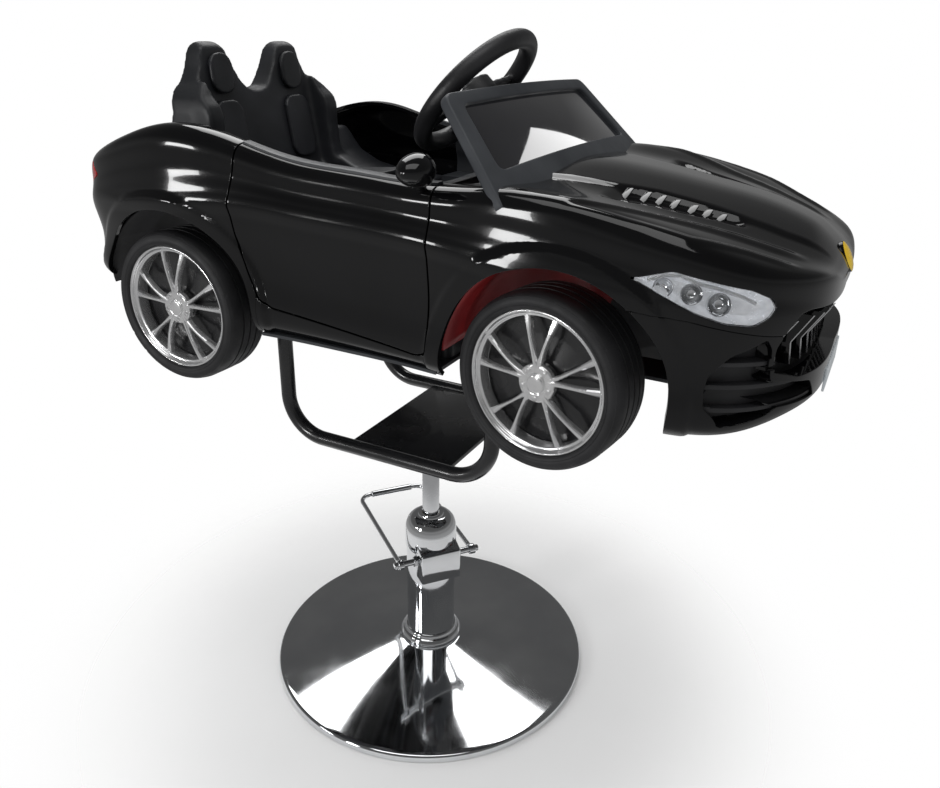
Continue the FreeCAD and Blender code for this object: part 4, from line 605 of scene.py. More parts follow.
# %% [markdown]
# The car body is one smooth shape before it is split into panels, and its painted panels must share that
# shape or reflections would break at every seam. So the shape is kept as a table of cross-sections: along
# the car, half width, underside, waist line, crest and top, each a share of the body's own box. A grid is
# laid over them with cubic curves both ways, close enough that gloss paint shows no facets.

# %% The master skin
BODY_TAIL, BODY_LENGTH, BODY_HALF, BODY_LOW, BODY_HEIGHT = -0.520, 1.168, 0.295, 0.700, 0.330
SECTIONS = np.array((
    (0.0010, 0.000, 0.325, 0.500, 0.610, 0.640), (0.002, 0.46, 0.318, 0.515, 0.640, 0.672),
    (0.010, 0.66, 0.297, 0.545, 0.700, 0.723), (0.022, 0.80, 0.279, 0.576, 0.750, 0.784),
    (0.043, 0.905, 0.261, 0.606, 0.812, 0.834), (0.080, 0.962, 0.242, 0.630, 0.876, 0.890),
    (0.130, 0.987, 0.212, 0.655, 0.940, 0.947), (0.188, 1.0, 0.176, 0.673, 0.991, 0.988),
    (0.248, 0.99, 0.145, 0.685, 0.990, 0.996), (0.317, 0.963, 0.130, 0.691, 0.935, 0.954),
    (0.394, 0.946, 0.124, 0.673, 0.884, 0.911), (0.480, 0.946, 0.118, 0.658, 0.866, 0.893),
    (0.556, 0.959, 0.112, 0.645, 0.852, 0.884), (0.616, 0.983, 0.106, 0.630, 0.862, 0.888),
    (0.676, 0.997, 0.097, 0.606, 0.874, 0.890), (0.728, 1.0, 0.088, 0.582, 0.856, 0.874),
    (0.779, 0.995, 0.079, 0.558, 0.826, 0.850), (0.822, 0.980, 0.070, 0.539, 0.793, 0.826),
    (0.865, 0.945, 0.061, 0.521, 0.755, 0.800), (0.899, 0.895, 0.062, 0.509, 0.718, 0.772),
    (0.929, 0.820, 0.080, 0.497, 0.683, 0.738), (0.955, 0.705, 0.110, 0.485, 0.655, 0.698),
    (0.974, 0.575, 0.135, 0.476, 0.630, 0.655), (0.984, 0.450, 0.148, 0.467, 0.602, 0.615),
    (0.9885, 0.33, 0.155, 0.455, 0.572, 0.585), (0.9897, 0.000, 0.156, 0.453, 0.570, 0.582)))


def weights(knots, at):
    """Rows of weights that carry values at the knots to places between them along a natural cubic curve."""
    count = len(knots)
    gap = np.diff(knots)
    bend = np.zeros((count, count))
    known = np.zeros((count, count))
    bend[0, 0] = bend[-1, -1] = 1
    for i in range(1, count - 1):
        bend[i, i - 1:i + 2] = gap[i - 1], 2 * (gap[i - 1] + gap[i]), gap[i]
        known[i, i - 1:i + 2] = 6 / gap[i - 1], -6 / gap[i - 1] - 6 / gap[i], 6 / gap[i]
    curve = np.linalg.solve(bend, known)
    k = np.clip(np.searchsorted(knots, at) - 1, 0, count - 2)
    a = ((knots[k + 1] - at) / gap[k])[:, None]
    b = 1 - a
    square = (gap[k] ** 2 / 6)[:, None]
    each = np.eye(count)
    return a * each[k] + b * each[k + 1] + ((a ** 3 - a) * curve[k] + (b ** 3 - b) * curve[k + 1]) * square


share, half, under, waist, crest, top = SECTIONS.T
x_at = BODY_TAIL + share * BODY_LENGTH
taper = half
half = half * BODY_HALF
under, waist, crest, top = (BODY_LOW + BODY_HEIGHT * v for v in (under, waist, crest, top))
tumble = 0.022 * taper
shoulder = half - tumble
tuck = 0.018 * taper
side_y = np.array([half - tuck, half - 0.3 * tuck, half - 0.011 * taper, half, half - 0.3 * tumble, shoulder,
                   0.62 * shoulder, 0 * half])
side_z = np.array([under, under + 0.16 * (waist - under), under + 0.55 * (waist - under), waist,
                   (waist + crest) / 2, crest, (crest + top) / 2 - 0.005 * taper, top])
run = np.concatenate([[0], np.cumsum(np.hypot(np.diff(x_at), np.diff(half)))])
ROWS = 340
COLUMNS = (8, 18, 20, 12, 12, 22, 30)
row_at = np.linspace(0, run[-1], ROWS + 1)
column_at = np.concatenate([[0]] + [k + np.arange(1, n + 1) / n for k, n in enumerate(COLUMNS)])
along = weights(run, row_at)
whole_y = np.concatenate([-side_y, side_y[-2::-1]])
whole_z = np.concatenate([side_z, side_z[-2::-1]])
around = weights(np.arange(15.0), column_at)
skin = np.stack([np.repeat((along @ x_at)[:, None], len(column_at), 1), along @ whole_y.T @ around.T,
                 along @ whole_z.T @ around.T], axis=2)
skin[..., 1] = np.minimum(skin[..., 1], 0)
skin[:, -1, 1] = 0


SIDE_ROW, SIDE_COLUMN = 170, 60


def facing(points):
    """Unit normals of the grid, pointing out of the car, as a point of the right side tells."""
    across = np.gradient(points, axis=1)
    onward = np.gradient(points, axis=0)
    normal = np.cross(across, onward)
    size = np.linalg.norm(normal, axis=2, keepdims=True)
    normal = normal / np.maximum(size, 1e-12)
    return normal * -np.sign(normal[SIDE_ROW, SIDE_COLUMN, 1])


print("skin", skin.shape, "x", skin[..., 0].min().round(4), skin[..., 0].max().round(4))

# %% [markdown]
# The sculpted lines sit on top of that form: a crisp waist crease down the door, a flared band round each
# wheel arch, two fender ridges that close in on the nose, and a bonnet whose middle stands a little proud
# between its vent channels. Each is a small push along the skin's normal, so paint flows over it unbroken.

# %% Creases, flares and ridges
def smooth(value, low, high):
    """0 below low, 1 above high, eased between them."""
    t = np.clip((value - low) / (high - low), 0, 1)
    return t * t * (3 - 2 * t)


def reading(table, at):
    """Values of a two-column table at these places."""
    table = np.array(sorted(table))
    return np.interp(at, table[:, 0], table[:, 1])


ARCH_RADIUS = 0.155
RIDGE = ((0.20, 0.272), (0.26, 0.276), (0.333, 0.264), (0.433, 0.206), (0.503, 0.177), (0.559, 0.154),
         (0.600, 0.132))
SHOULDER = ((0.26, 0.282), (0.333, 0.278), (0.409, 0.271), (0.480, 0.255), (0.535, 0.215), (0.577, 0.191),
            (0.600, 0.176))
CHANNEL = ((0.20, 0.150), (0.26, 0.140), (0.35, 0.122), (0.371, 0.114), (0.402, 0.105), (0.44, 0.103),
           (0.516, 0.106), (0.56, 0.098), (0.61, 0.075))
VENT_OUTER = ((0.340, 0.190), (0.378, 0.176), (0.409, 0.160), (0.447, 0.151), (0.477, 0.140), (0.520, 0.128))


def relief(points, normal):
    """How far each point of the skin is pushed out."""
    x, y, z = points[..., 0], -points[..., 1], points[..., 2]
    side = smooth(np.abs(normal[..., 1]), 0.25, 0.6)
    flat = smooth(normal[..., 2], 0.35, 0.75)
    push = np.zeros(x.shape)
    for wheel in AXLE_X.values():
        reach = np.hypot(x - wheel, z - WHEEL_Z)
        push += 0.0034 * side * (1 - smooth(reach, ARCH_RADIUS + 0.020, ARCH_RADIUS + 0.027))
    waist_z = points[:, sum(COLUMNS[:3]), 2][:, None]
    crease = np.clip(1 - np.abs(z - waist_z) / 0.016, 0, 1)
    push += 0.0030 * crease * side * smooth(x, -0.44, -0.36) * (1 - smooth(x, 0.24, 0.36))
    for line, height, width in ((RIDGE, 0.0030, 0.014), (SHOULDER, 0.0026, 0.012)):
        ridge = np.clip(1 - np.abs(y - reading(line, x)) / width, 0, 1)
        push += height * ridge * smooth(normal[..., 2], 0.15, 0.5) * smooth(x, 0.27, 0.35) * (
            1 - smooth(x, 0.56, 0.60))
    middle = smooth(reading(CHANNEL, x) - y, -0.004, 0.007)
    push += 0.0040 * middle * flat * smooth(x, 0.18, 0.24) * (1 - smooth(x, 0.58, 0.62))
    vent = smooth(y - reading(CHANNEL, x), 0.000, 0.008) * smooth(reading(VENT_OUTER, x) - y, 0.000, 0.012)
    push -= 0.0060 * vent * flat * smooth(x, 0.345, 0.365) * (1 - smooth(x, 0.500, 0.520))
    return push


outward = facing(skin)
skin = skin + outward * relief(skin, outward)[..., None]
skin[:, -1, 1] = 0
outward = facing(skin)
print("relief on", skin.shape[0] * skin.shape[1], "points")

# %% [markdown]
# A panel is the skin inside an outline. The outline is a signed distance: below zero on the panel, above it
# off the panel. Grid edges that cross zero are split there, the faces are split between the new points and
# the outside goes, which leaves a clean edge at any angle to the grid.

# %% Cutting a panel out of the skin
def inside(outline, first, second):
    """Signed distance to a closed outline in the plane of two of the three coordinates."""
    ring = np.array([(p[0], p[1]) for p in outline])
    after = np.roll(ring, -1, axis=0)

    def field(points):
        flat = points[:, (first, second)]
        best = np.full(len(flat), 9.0)
        crossings = np.zeros(len(flat), int)
        for a, b in zip(ring, after):
            run_to = b - a
            t = np.clip(((flat - a) @ run_to) / max(run_to @ run_to, 1e-12), 0, 1)
            best = np.minimum(best, np.linalg.norm(flat - a - t[:, None] * run_to, axis=1))
            spans = (a[1] > flat[:, 1]) != (b[1] > flat[:, 1])
            if a[1] != b[1]:
                crossings += spans & (flat[:, 0] < a[0] + (flat[:, 1] - a[1]) * run_to[0] / run_to[1])
        return np.where(crossings % 2 == 1, -best, best)
    return field


def corners_2d(points, radius):
    """A flat outline with its corners softened."""
    return [(p.x, p.y) for p in softened([(a, b, 0) for a, b in points], radius, 5)]


def body_xz(shares):
    """Places in the side view from shares of the body's length and height."""
    return [(BODY_TAIL + a * BODY_LENGTH, BODY_LOW + b * BODY_HEIGHT) for a, b in shares]


def body_yz(shares):
    """Places on the right half of the front view from shares of the body's width and height."""
    return [(-BODY_HALF * a, BODY_LOW + b * BODY_HEIGHT) for a, b in shares]


DOOR = corners_2d(body_xz(((0.5815, 0.925), (0.5775, 0.42), (0.575, 0.193), (0.562, 0.176), (0.350, 0.252),
                           (0.333, 0.285), (0.318, 0.40), (0.3045, 0.56), (0.3025, 0.70), (0.310, 0.86),
                           (0.318, 1.10), (0.5815, 1.10))), 0.005)
BUMPER = corners_2d(body_xz(((0.80, -0.2), (0.80, 0.525), (0.871, 0.50), (0.887, 0.487), (0.942, 0.447),
                             (1.05, 0.40), (1.05, -0.2))), 0.002)
LAMP = corners_2d(body_xz(((0.810, 0.636), (0.848, 0.670), (0.921, 0.615), (0.9375, 0.585), (0.942, 0.552),
                           (0.9375, 0.518), (0.9255, 0.491), (0.901, 0.50), (0.876, 0.530), (0.848, 0.576),
                           (0.828, 0.609))), 0.004)
TAIL = corners_2d(body_yz(((0.42, 0.62), (0.86, 0.66), (0.93, 0.74), (0.90, 0.80), (0.48, 0.74),
                           (0.40, 0.69))), 0.005)
GRILLE_HALF = ((0.0, 0.500), (0.45, 0.514), (0.60, 0.525), (0.656, 0.517), (0.702, 0.470), (0.727, 0.400),
               (0.718, 0.305), (0.60, 0.268), (0.0, 0.262))
GRILLE_SHARES = GRILLE_HALF + tuple((-a, b) for a, b in GRILLE_HALF[-2:0:-1])
GRILLE = corners_2d([(BODY_HALF * a, BODY_LOW + b * BODY_HEIGHT) for a, b in GRILLE_SHARES], 0.004)
INTAKE = corners_2d(body_yz(((0.871, 0.306), (0.847, 0.379), (0.776, 0.439), (0.746, 0.397), (0.722, 0.270),
                             (0.508, 0.234), (0.441, 0.158), (0.695, 0.167), (0.719, 0.145), (0.769, 0.130),
                             (0.858, 0.103), (0.885, 0.179))), 0.003)
COCKPIT = corners_2d([(-0.438, -0.243), (0.236, -0.243), (0.236, 0.243), (-0.438, 0.243)], 0.016)
PANEL_GAP = 0.0012
EDGE = 0.0008

door_field = inside(DOOR, 0, 2)
bumper_field = inside(BUMPER, 0, 2)
lamp_side = inside(LAMP, 0, 2)
tail_back = inside(TAIL, 1, 2)
grille_front = inside(GRILLE, 1, 2)
intake_front = inside(INTAKE, 1, 2)
cockpit_plan = inside(COCKPIT, 0, 1)


def both(*fields):
    """On all of these at once."""
    return lambda p: np.max([f(p) for f in fields], axis=0)


def off(field, gap=0.0):
    """Clear of this outline by a gap."""
    return lambda p: gap - field(p)


def beyond(axis, limit, sign=1):
    """Where a coordinate is above the limit, or below it when the sign is -1."""
    return lambda p: sign * (limit - p[:, axis])


lamp_field = both(lamp_side, beyond(1, -0.120, -1))
tail_field = both(tail_back, beyond(0, -0.400, -1))
grille_field = both(grille_front, beyond(0, 0.5779))
intake_field = both(intake_front, beyond(0, 0.4728))
cockpit_field = both(cockpit_plan, beyond(2, 0.84))


def off_arches(p):
    """Clear of the wheel arches."""
    reach = [np.hypot(p[:, 0] - x, p[:, 2] - WHEEL_Z) for x in AXLE_X.values()]
    return ARCH_RADIUS - np.min(reach, axis=0)


def cut_panel(field):
    """The part of the right half of the skin where the field is below zero."""
    bm = bmesh.new()
    columns = sum(COLUMNS)
    bmesh.ops.create_grid(bm, x_segments=ROWS, y_segments=columns, size=1)
    keep = field(skin.reshape(-1, 3)).reshape(skin.shape[:2])
    value = {}
    lost = []
    for v in bm.verts:
        i = round((v.co.x + 1) / 2 * ROWS)
        j = round((v.co.y + 1) / 2 * columns)
        v.co = skin[i, j]
        value[v] = keep[i, j]
        if keep[i, j] > 0.012:
            lost.append(v)
    for v in lost:
        del value[v]
    bmesh.ops.delete(bm, geom=lost, context="VERTS")
    step = 1e-4
    close = [v for v, d in value.items() if abs(d) < 0.0011]
    if close:
        places = np.array([v.co for v in close])
        slope = np.stack([field(places + step * axis) - field(places - step * axis) for axis in np.eye(3)], 1)
        slope /= 2 * step
        bm.normal_update()
        normals = np.array([v.normal for v in close])
        slope -= normals * np.sum(slope * normals, axis=1, keepdims=True)
        size = np.sum(slope ** 2, axis=1)
        for v, push, s in zip(close, slope, size):
            if s > 0.05:
                v.co -= Vector(push * (value[v] / s))
                value[v] = 0.0
    for edge in list(bm.edges):
        a, b = edge.verts
        if value[a] * value[b] < 0:
            made = bmesh.utils.edge_split(edge, a, value[a] / (value[a] - value[b]))
            value[made[1]] = 0.0
    for face in list(bm.faces):
        line = [v for v in face.verts if value[v] == 0.0]
        if len(line) == 2 and len(face.verts) > 3 and not any(set(e.verts) == set(line) for e in face.edges):
            bmesh.utils.face_split(face, line[0], line[1])
    centres = np.array([f.calc_center_median() for f in bm.faces])
    away = field(centres) > 0
    bmesh.ops.delete(bm, geom=[f for f, gone in zip(bm.faces, away) if gone], context="FACES")
    loose = [v for v in bm.verts if not v.link_faces]
    bmesh.ops.delete(bm, geom=loose, context="VERTS")
    bmesh.ops.remove_doubles(bm, verts=bm.verts, dist=2e-5)
    bmesh.ops.recalc_face_normals(bm, faces=bm.faces)
    tilt = sum((f.calc_center_median() - Vector((f.calc_center_median().x * 0.8, 0, 0.80))).dot(f.normal)
               for f in bm.faces)
    if tilt < 0:
        bmesh.ops.reverse_faces(bm, faces=bm.faces)
    return bm


NOSE_FACE, NOSE_REGION, BODY_MIDDLE_Z = 0.585, 0.45, 0.87


def roll_edges(bm, depth, radius=EDGE):
    """Turn the free edges down with a small radius, then in by the depth, as a moulded panel's edge is.

    On the nose's front the depth runs straight back, because the skin's normals fan out too fast there.
    """
    rim = [e for e in bm.edges if e.is_boundary and not all(abs(v.co.y) < 2e-5 for v in e.verts)]
    bm.normal_update()
    outwards = {}
    for edge in rim:
        a, b = edge.verts
        face = edge.link_faces[0]
        line = (b.co - a.co).normalized()
        way = line.cross(face.normal).normalized()
        if way.dot(face.calc_center_median() - (a.co + b.co) / 2) > 0:
            way = -way
        for v in edge.verts:
            outwards.setdefault(v, Vector()).__iadd__(way)
    frames = {}
    for v, way in outwards.items():
        normal = v.normal.copy()
        if v.co.x > NOSE_FACE:
            normal = normal.lerp(Vector((1, 0, 0)), 0.9).normalized()
        if v.co.x > NOSE_REGION and normal.dot(Vector((0.08, v.co.y, v.co.z - BODY_MIDDLE_Z))) < 0:
            normal = -normal
        way = way - normal * way.dot(normal)
        if abs(v.co.y) < 2e-5:
            way.y = 0
        frames[v] = (v.co.copy(), way.normalized(), normal)
    bends = [math.radians(a) for a in (30, 60, 90)]
    stages = [(radius * math.sin(a), radius * (1 - math.cos(a))) for a in bends] + [(radius, depth)]
    line = rim
    for out, sink in stages:
        grown = bmesh.ops.extrude_edge_only(bm, edges=line)["geom"]
        fresh = [g for g in grown if isinstance(g, bmesh.types.BMVert)]
        fresh_set = set(fresh)
        carried = {}
        for v in fresh:
            parent = next(e.other_vert(v) for e in v.link_edges if e.other_vert(v) not in fresh_set)
            place, way, normal = frames[parent]
            v.co = place + way * out - normal * sink
            carried[v] = frames[parent]
        frames = carried
        line = [g for g in grown if isinstance(g, bmesh.types.BMEdge) and g.verts[0] in fresh_set
                and g.verts[1] in fresh_set]


def mirrored_whole(bm):
    """Add the other half and join it along the centre line."""
    geom = list(bm.verts) + list(bm.edges) + list(bm.faces)
    bmesh.ops.mirror(bm, geom=geom, matrix=Matrix.Identity(4), merge_dist=2e-5, axis="Y")
    return bm


def flipped(bm):
    """The same piece for the other side of the car."""
    bmesh.ops.scale(bm, vec=(1, -1, 1), verts=bm.verts)
    bmesh.ops.reverse_faces(bm, faces=bm.faces)
    return bm


# %% [markdown]
# The painted panels: the tail with its haunches, the nose with the wings and bonnet, the bumper below it,
# and the two sills under the doors. They are the same lacquered moulding, so one gloss black serves all.

# %% Fixed painted panels
DOOR_REAR, DOOR_FRONT = -0.137, 0.150
grow = PANEL_GAP + EDGE
open_sides = both(off_arches, off(cockpit_field, EDGE), off(door_field, grow + 0.0012))
panels = {
    "body_rear": (both(open_sides, beyond(0, DOOR_REAR - EDGE, -1), off(tail_field, EDGE)), 0.006),
    "body_front": (both(open_sides, beyond(0, DOOR_FRONT + EDGE), off(bumper_field, grow),
                        off(lamp_field, EDGE), off(grille_field, EDGE)), 0.006),
    "front_bumper": (both(off_arches, bumper_field, off(lamp_field, grow), off(grille_field, EDGE),
                          off(intake_field, EDGE)), 0.022),
    "sills": (both(open_sides, beyond(0, DOOR_REAR + EDGE), beyond(0, DOOR_FRONT - EDGE, -1),
                   beyond(2, 0.8188, -1)), 0.006),
}
for node, (field, depth) in panels.items():
    bm = cut_panel(field)
    roll_edges(bm, depth)
    mirrored_whole(bm)
    piece = hand_over(node + "_panel", bm, "carrier", [gloss_black], [node])
    refine(piece, "WEIGHTED_NORMAL", "even_reflections", keep_sharp=True)

# %% [markdown]
# Each door is a skin of the same form inside the door's shut line, with the seams all round it. The left
# door is the right one mirrored.

# %% Doors
door_region = both(off_arches, lambda p: door_field(p) + EDGE, beyond(1, -0.258 - EDGE, -1))
for hand in ("right", "left"):
    bm = cut_panel(door_region)
    roll_edges(bm, 0.010)
    if hand == "left":
        flipped(bm)
    piece = hand_over("door_" + hand + "_skin", bm, hand + "_door", [gloss_black],
                      ["door_" + hand])
    refine(piece, "WEIGHTED_NORMAL", "even_reflections", keep_sharp=True)

# %% [markdown]
# Behind each side intake is a moulded pocket with three fins across it. The pocket's floor is the bumper's
# own surface let in by two centimetres, and each fin is a narrow band of that surface with deep sides, so
# both follow the bumper round the corner.

# %% Intake pockets and fins
def sunk(bm, depth):
    """Move a piece of skin in along its own normals."""
    bm.normal_update()
    for v, normal in [(v, v.normal.copy()) for v in bm.verts]:
        v.co -= normal * depth


def paired(bm):
    """Add the mirrored piece of the other side."""
    geom = list(bm.verts) + list(bm.edges) + list(bm.faces)
    twin = bmesh.ops.duplicate(bm, geom=geom)["geom"]
    bmesh.ops.scale(bm, vec=(1, -1, 1), verts=[g for g in twin if isinstance(g, bmesh.types.BMVert)])
    bmesh.ops.reverse_faces(bm, faces=[g for g in twin if isinstance(g, bmesh.types.BMFace)])


def joined(bm, other):
    """Add one bmesh to another."""
    mesh = bpy.data.meshes.new("joined")
    other.to_mesh(mesh)
    other.free()
    bm.from_mesh(mesh)
    bpy.data.meshes.remove(mesh)


pockets = cut_panel(lambda p: intake_field(p) - 0.0015)
sunk(pockets, 0.019)
for level in (0.756, 0.784, 0.812):
    fin = cut_panel(both(lambda p: intake_field(p) - 0.001, lambda p: np.abs(p[:, 2] - level) - 0.0022))
    sunk(fin, 0.004)
    roll_edges(fin, 0.014, 0.0006)
    joined(pockets, fin)
paired(pockets)
hand_over("intake_fins", pockets, "carrier", [satin_black])

# %% [markdown]
# A headlamp is a clear moulded cover over a deep silver bowl with a faint painted glow. The bowl is the same
# piece of skin, let in further the farther it is from the lamp's edge, which gives the curved silver walls.
# Three round reflectors and a light guide along the upper edge stand in it.

# %% Headlamps
def depth_dish(bm, field, rim, deep, run_in):
    """Let a piece of skin in, more so the farther it is inside the field's edge."""
    bm.normal_update()
    inner = -field(np.array([v.co for v in bm.verts]))
    push = rim + deep * smooth(inner, 0.0, run_in)
    for v, normal, amount in [(v, v.normal.copy(), a) for v, a in zip(bm.verts, push)]:
        v.co -= normal * amount


def skin_point(x, z):
    """The point and normal of the car's right flank at a place in the side view."""
    flank = np.hypot(skin[..., 0] - x, skin[..., 2] - z) + np.where(np.abs(outward[..., 1]) > 0.25, 0, 1)
    i, j = np.unravel_index(np.argmin(flank), flank.shape)
    return Vector(skin[i, j]), Vector(outward[i, j])


lens = cut_panel(lambda p: lamp_field(p) + 0.0012)
sunk(lens, 0.0006)
roll_edges(lens, 0.003, 0.0006)
paired(lens)
hand_over("headlamp_covers", lens, "carrier", [lens_clear], ["headlamp_lenses"])

bowls = cut_panel(lambda p: lamp_field(p) + 0.0010)
depth_dish(bowls, lamp_side, 0.0042, 0.0150, 0.011)
for face in bowls.faces:
    face.material_index = 0
for x, z, size in ((0.461, 0.903, 0.0105), (0.492, 0.8975, 0.0115), (0.526, 0.888, 0.0125)):
    place, normal = skin_point(x, z)
    centre = place - normal * 0.0170
    cup = [(0.0, 0.0), (size * 0.45, 0.0012), (size * 0.8, 0.0045), (size, 0.0095), (size * 1.08, 0.0098),
           (size * 1.08, 0.0)]
    turn(bowls, softened(cup, 0.0006, 3, False), centre, normal, 48, 1)
    bulb = [(0.0, 0.0075), (size * 0.28, 0.0068), (size * 0.42, 0.0042), (size * 0.45, 0.0012)]
    turn(bowls, softened(bulb, 0.0008, 3, False), centre, normal, 32, 2)
guide = []
for x, z in ((0.446, 0.9085), (0.462, 0.9145), (0.480, 0.9150), (0.500, 0.9105), (0.522, 0.9045),
             (0.545, 0.8975), (0.562, 0.8895)):
    place, normal = skin_point(x, z)
    guide.append(place - normal * 0.0075)
rod_mesh(bowls, guide, 0.0022, sides=12, material=3)
paired(bowls)
hand_over("headlamp_reflectors", bowls, "carrier", [lamp_silver_painted_glow, chrome, lens_clear, lamp_white],
          ["headlamp_bowls"])

tails = cut_panel(lambda p: tail_field(p) + 0.0012)
roll_edges(tails, 0.009, 0.0008)
paired(tails)
hand_over("tail_lamp_covers", tails, "carrier", [lens_red], ["tail_lamps"])

# %% [markdown]
# The grille is a row of upright blades. Each is a black moulded blade with a kink in its front edge and a
# thin bright strip along that edge, so a blade is one slab and its strip a narrower, shallower one. A dark
# wall follows the nose behind them and turns forward at its foot, which closes the hole.

# %% Grille blades
NOSE = sorted((BODY_HALF * s[1], BODY_TAIL + s[0] * BODY_LENGTH) for s in SECTIONS if s[0] > 0.90)
BLADE_PITCH, BLADE_WIDTH, STRIP_WIDTH = 0.0273, 0.0038, 0.0022
OPENING_MARGIN = 0.0095


def nose_front(y):
    """How far forward the nose reaches at a distance from the middle."""
    return float(np.interp(abs(y), [n[0] for n in NOSE], [n[1] for n in NOSE]))


def opening(y):
    """Lowest and highest point of the grille's outline at a distance from the middle, less a margin."""
    heights = []
    for a, b in zip(GRILLE, GRILLE[1:] + GRILLE[:1]):
        if (a[0] - y) * (b[0] - y) < 0:
            heights.append(a[1] + (b[1] - a[1]) * (y - a[0]) / (b[0] - a[0]))
    return min(heights) + OPENING_MARGIN, max(heights) - OPENING_MARGIN


def upright(bm, outline, y, width, material):
    """A slab of a side outline, centred on a distance from the middle."""
    faces = slab(bm, [p + Vector((0, y - width / 2, 0)) for p in outline], width, material)
    lift = y - sum(f.calc_center_median().y for f in faces) / len(faces)
    bmesh.ops.translate(bm, vec=(0, lift, 0), verts=list({v for f in faces for v in f.verts}))


bm = bmesh.new()
for k in range(-7, 8):
    y = k * BLADE_PITCH + 0.0001
    front = nose_front(y) - 0.0030
    low, high = opening(y)
    middle = low + (high - low) * 0.43
    front_line = [Vector((front - 0.001, 0, high)), Vector((front - 0.022, 0, middle)),
                  Vector((front - 0.019, 0, low))]
    back_line = [p - Vector((0.015, 0, 0)) for p in reversed(front_line)]
    upright(bm, softened(front_line + back_line, 0.003, 4), y, BLADE_WIDTH, 0)
    strip = [p + Vector((0.0014, 0, 0)) for p in front_line] + front_line[::-1]
    upright(bm, softened(strip, 0.0004, 2), y, STRIP_WIDTH, 1)
hand_over("grille_blades", bm, "carrier", [gloss_black, slat_silver], ["grille_slats"])

bm = bmesh.new()
rows = []
wall_line = ((0.020, 0.884), (0.021, 0.868), (0.040, 0.832), (0.038, 0.788), (0.030, 0.766), (0.002, 0.764))
for k in range(-16, 17):
    y = k * 0.0137
    rows.append([bm.verts.new((nose_front(y) - deep, y, z)) for deep, z in wall_line])
wall = [bm.faces.new((a[i], a[i + 1], b[i + 1], b[i])) for a, b in zip(rows, rows[1:]) for i in range(5)]
bmesh.ops.solidify(bm, geom=wall, thickness=0.0012)
hand_over("grille_back_wall", bm, "carrier", [satin_black], ["grille_frame"])

# %% [markdown]
# The badge's place holds a bare oval, a little taller than wide, lying on the slope of the nose. The plate
# under the grille is bare too.

# %% Badge and plate
bm = bmesh.new()
oval = [(0.0, 0.0050), (0.35, 0.0046), (0.65, 0.0035), (0.88, 0.0017), (0.97, 0.0006), (1.0, 0.0)]
turn(bm, oval, steps=96)
turn(bm, [(1.0, 0.0), (1.03, -0.0006), (1.03, -0.0060)], steps=96, material=1)
bmesh.ops.scale(bm, vec=(0.0205, 0.0170, 1), verts=bm.verts)
bmesh.ops.rotate(bm, cent=(0, 0, 0), matrix=Matrix.Rotation(math.radians(64), 3, "Y"), verts=bm.verts)
bmesh.ops.translate(bm, vec=(0.6312, 0, 0.9005), verts=bm.verts)
hand_over("bare_badge", bm, "carrier", [badge_yellow, gloss_black], ["nose_badge"])

bm = bmesh.new()
outline = corners_2d([(-0.075, 0.735), (0.075, 0.735), (0.075, 0.769), (-0.075, 0.769)], 0.004)
faces = slab(bm, [Vector((0.6355, y, z)) for y, z in outline], 0.003)
round_edges(bm, faces, 0.0006, 2, 60)
hand_over("bare_plate_panel", bm, "carrier", [pale_plate], ["number_plate"])

# %% [markdown]
# The bonnet's two outlets are louvred. Each louvre is a small blade across the sunk channel, with its face
# tilted so that it mirrors the overhead soft box as a bright slash, as in the photograph.

# %% Bonnet louvres
def bonnet_point(x, y):
    """The point and normal of the bonnet at a place in plan, on the car's right side."""
    plan = np.hypot(skin[..., 0] - x, skin[..., 1] + y) + np.where(outward[..., 2] > 0.4, 0, 1)
    i, j = np.unravel_index(np.argmin(plan), plan.shape)
    return Vector(skin[i, j]), Vector(outward[i, j])


bm = bmesh.new()
FACET = Vector((-0.27, -0.43, 0.86)).normalized()
for k in range(7):
    x = 0.366 + 0.0200 * k
    inner = float(reading(CHANNEL, x)) + 0.004
    outer = min(inner + 0.028 - 0.0016 * k, float(reading(VENT_OUTER, x)) - 0.004)
    root, normal = bonnet_point(x, (inner + outer) / 2)
    across = Vector((0.25, 1.0, 0.0))
    across = (across - FACET * across.dot(FACET)).normalized() * (outer - inner) / 2
    onward = across.cross(FACET).normalized() * 0.0058
    middle = root + normal * 0.0028
    blade = softened([middle - across - onward, middle + across - onward, middle + across + onward,
                      middle - across + onward], 0.003, 3)
    faces = slab(bm, blade, 0.0016, 0)
    round_edges(bm, faces, 0.0005, 2, 50)
paired(bm)
hand_over("bonnet_louvres", bm, "carrier", [gloss_black])

# %% [markdown]
# The windscreen of the real chair is a dark frame round a smoked acrylic pane, both bowed forward. The frame
# is the ring between two rounded outlines, bridged and thickened; the pane is a grid bent the same way with
# a slight dome of its own.

# %% Windscreen
SCREEN_RISE = math.hypot(1.082 - 0.980, 0.238 - 0.144)
SCREEN_UP = Vector((0.144 - 0.238, 0, 1.082 - 0.980)) / SCREEN_RISE
SCREEN_OUT = Vector((SCREEN_UP.z, 0, -SCREEN_UP.x))


def screen_half(v):
    """Half the screen's width at a height up its slope."""
    return 0.280 - (0.280 - 0.235) * v / SCREEN_RISE


def screen_at(u, v, lift):
    """A point of the bowed screen: u across, v up the slope, lifted off its back face."""
    bow = (0.016 - 0.010 * min(max(v / SCREEN_RISE, 0), 1)) * (1 - min((u / screen_half(v)) ** 2, 1))
    return Vector((0.238, u, 0.980)) + SCREEN_UP * v + SCREEN_OUT * (lift + bow)


def dense_ring(corners, radius, parts=14):
    """A rounded outline whose long sides carry enough points to bend."""
    soft = softened([(a, b, 0) for a, b in corners], radius, 4)
    ring = []
    for i in range(len(corners)):
        group = soft[5 * i:5 * i + 5]
        following = soft[(5 * i + 5) % len(soft)]
        ring += group + [group[-1].lerp(following, k / parts) for k in range(1, parts)]
    return ring


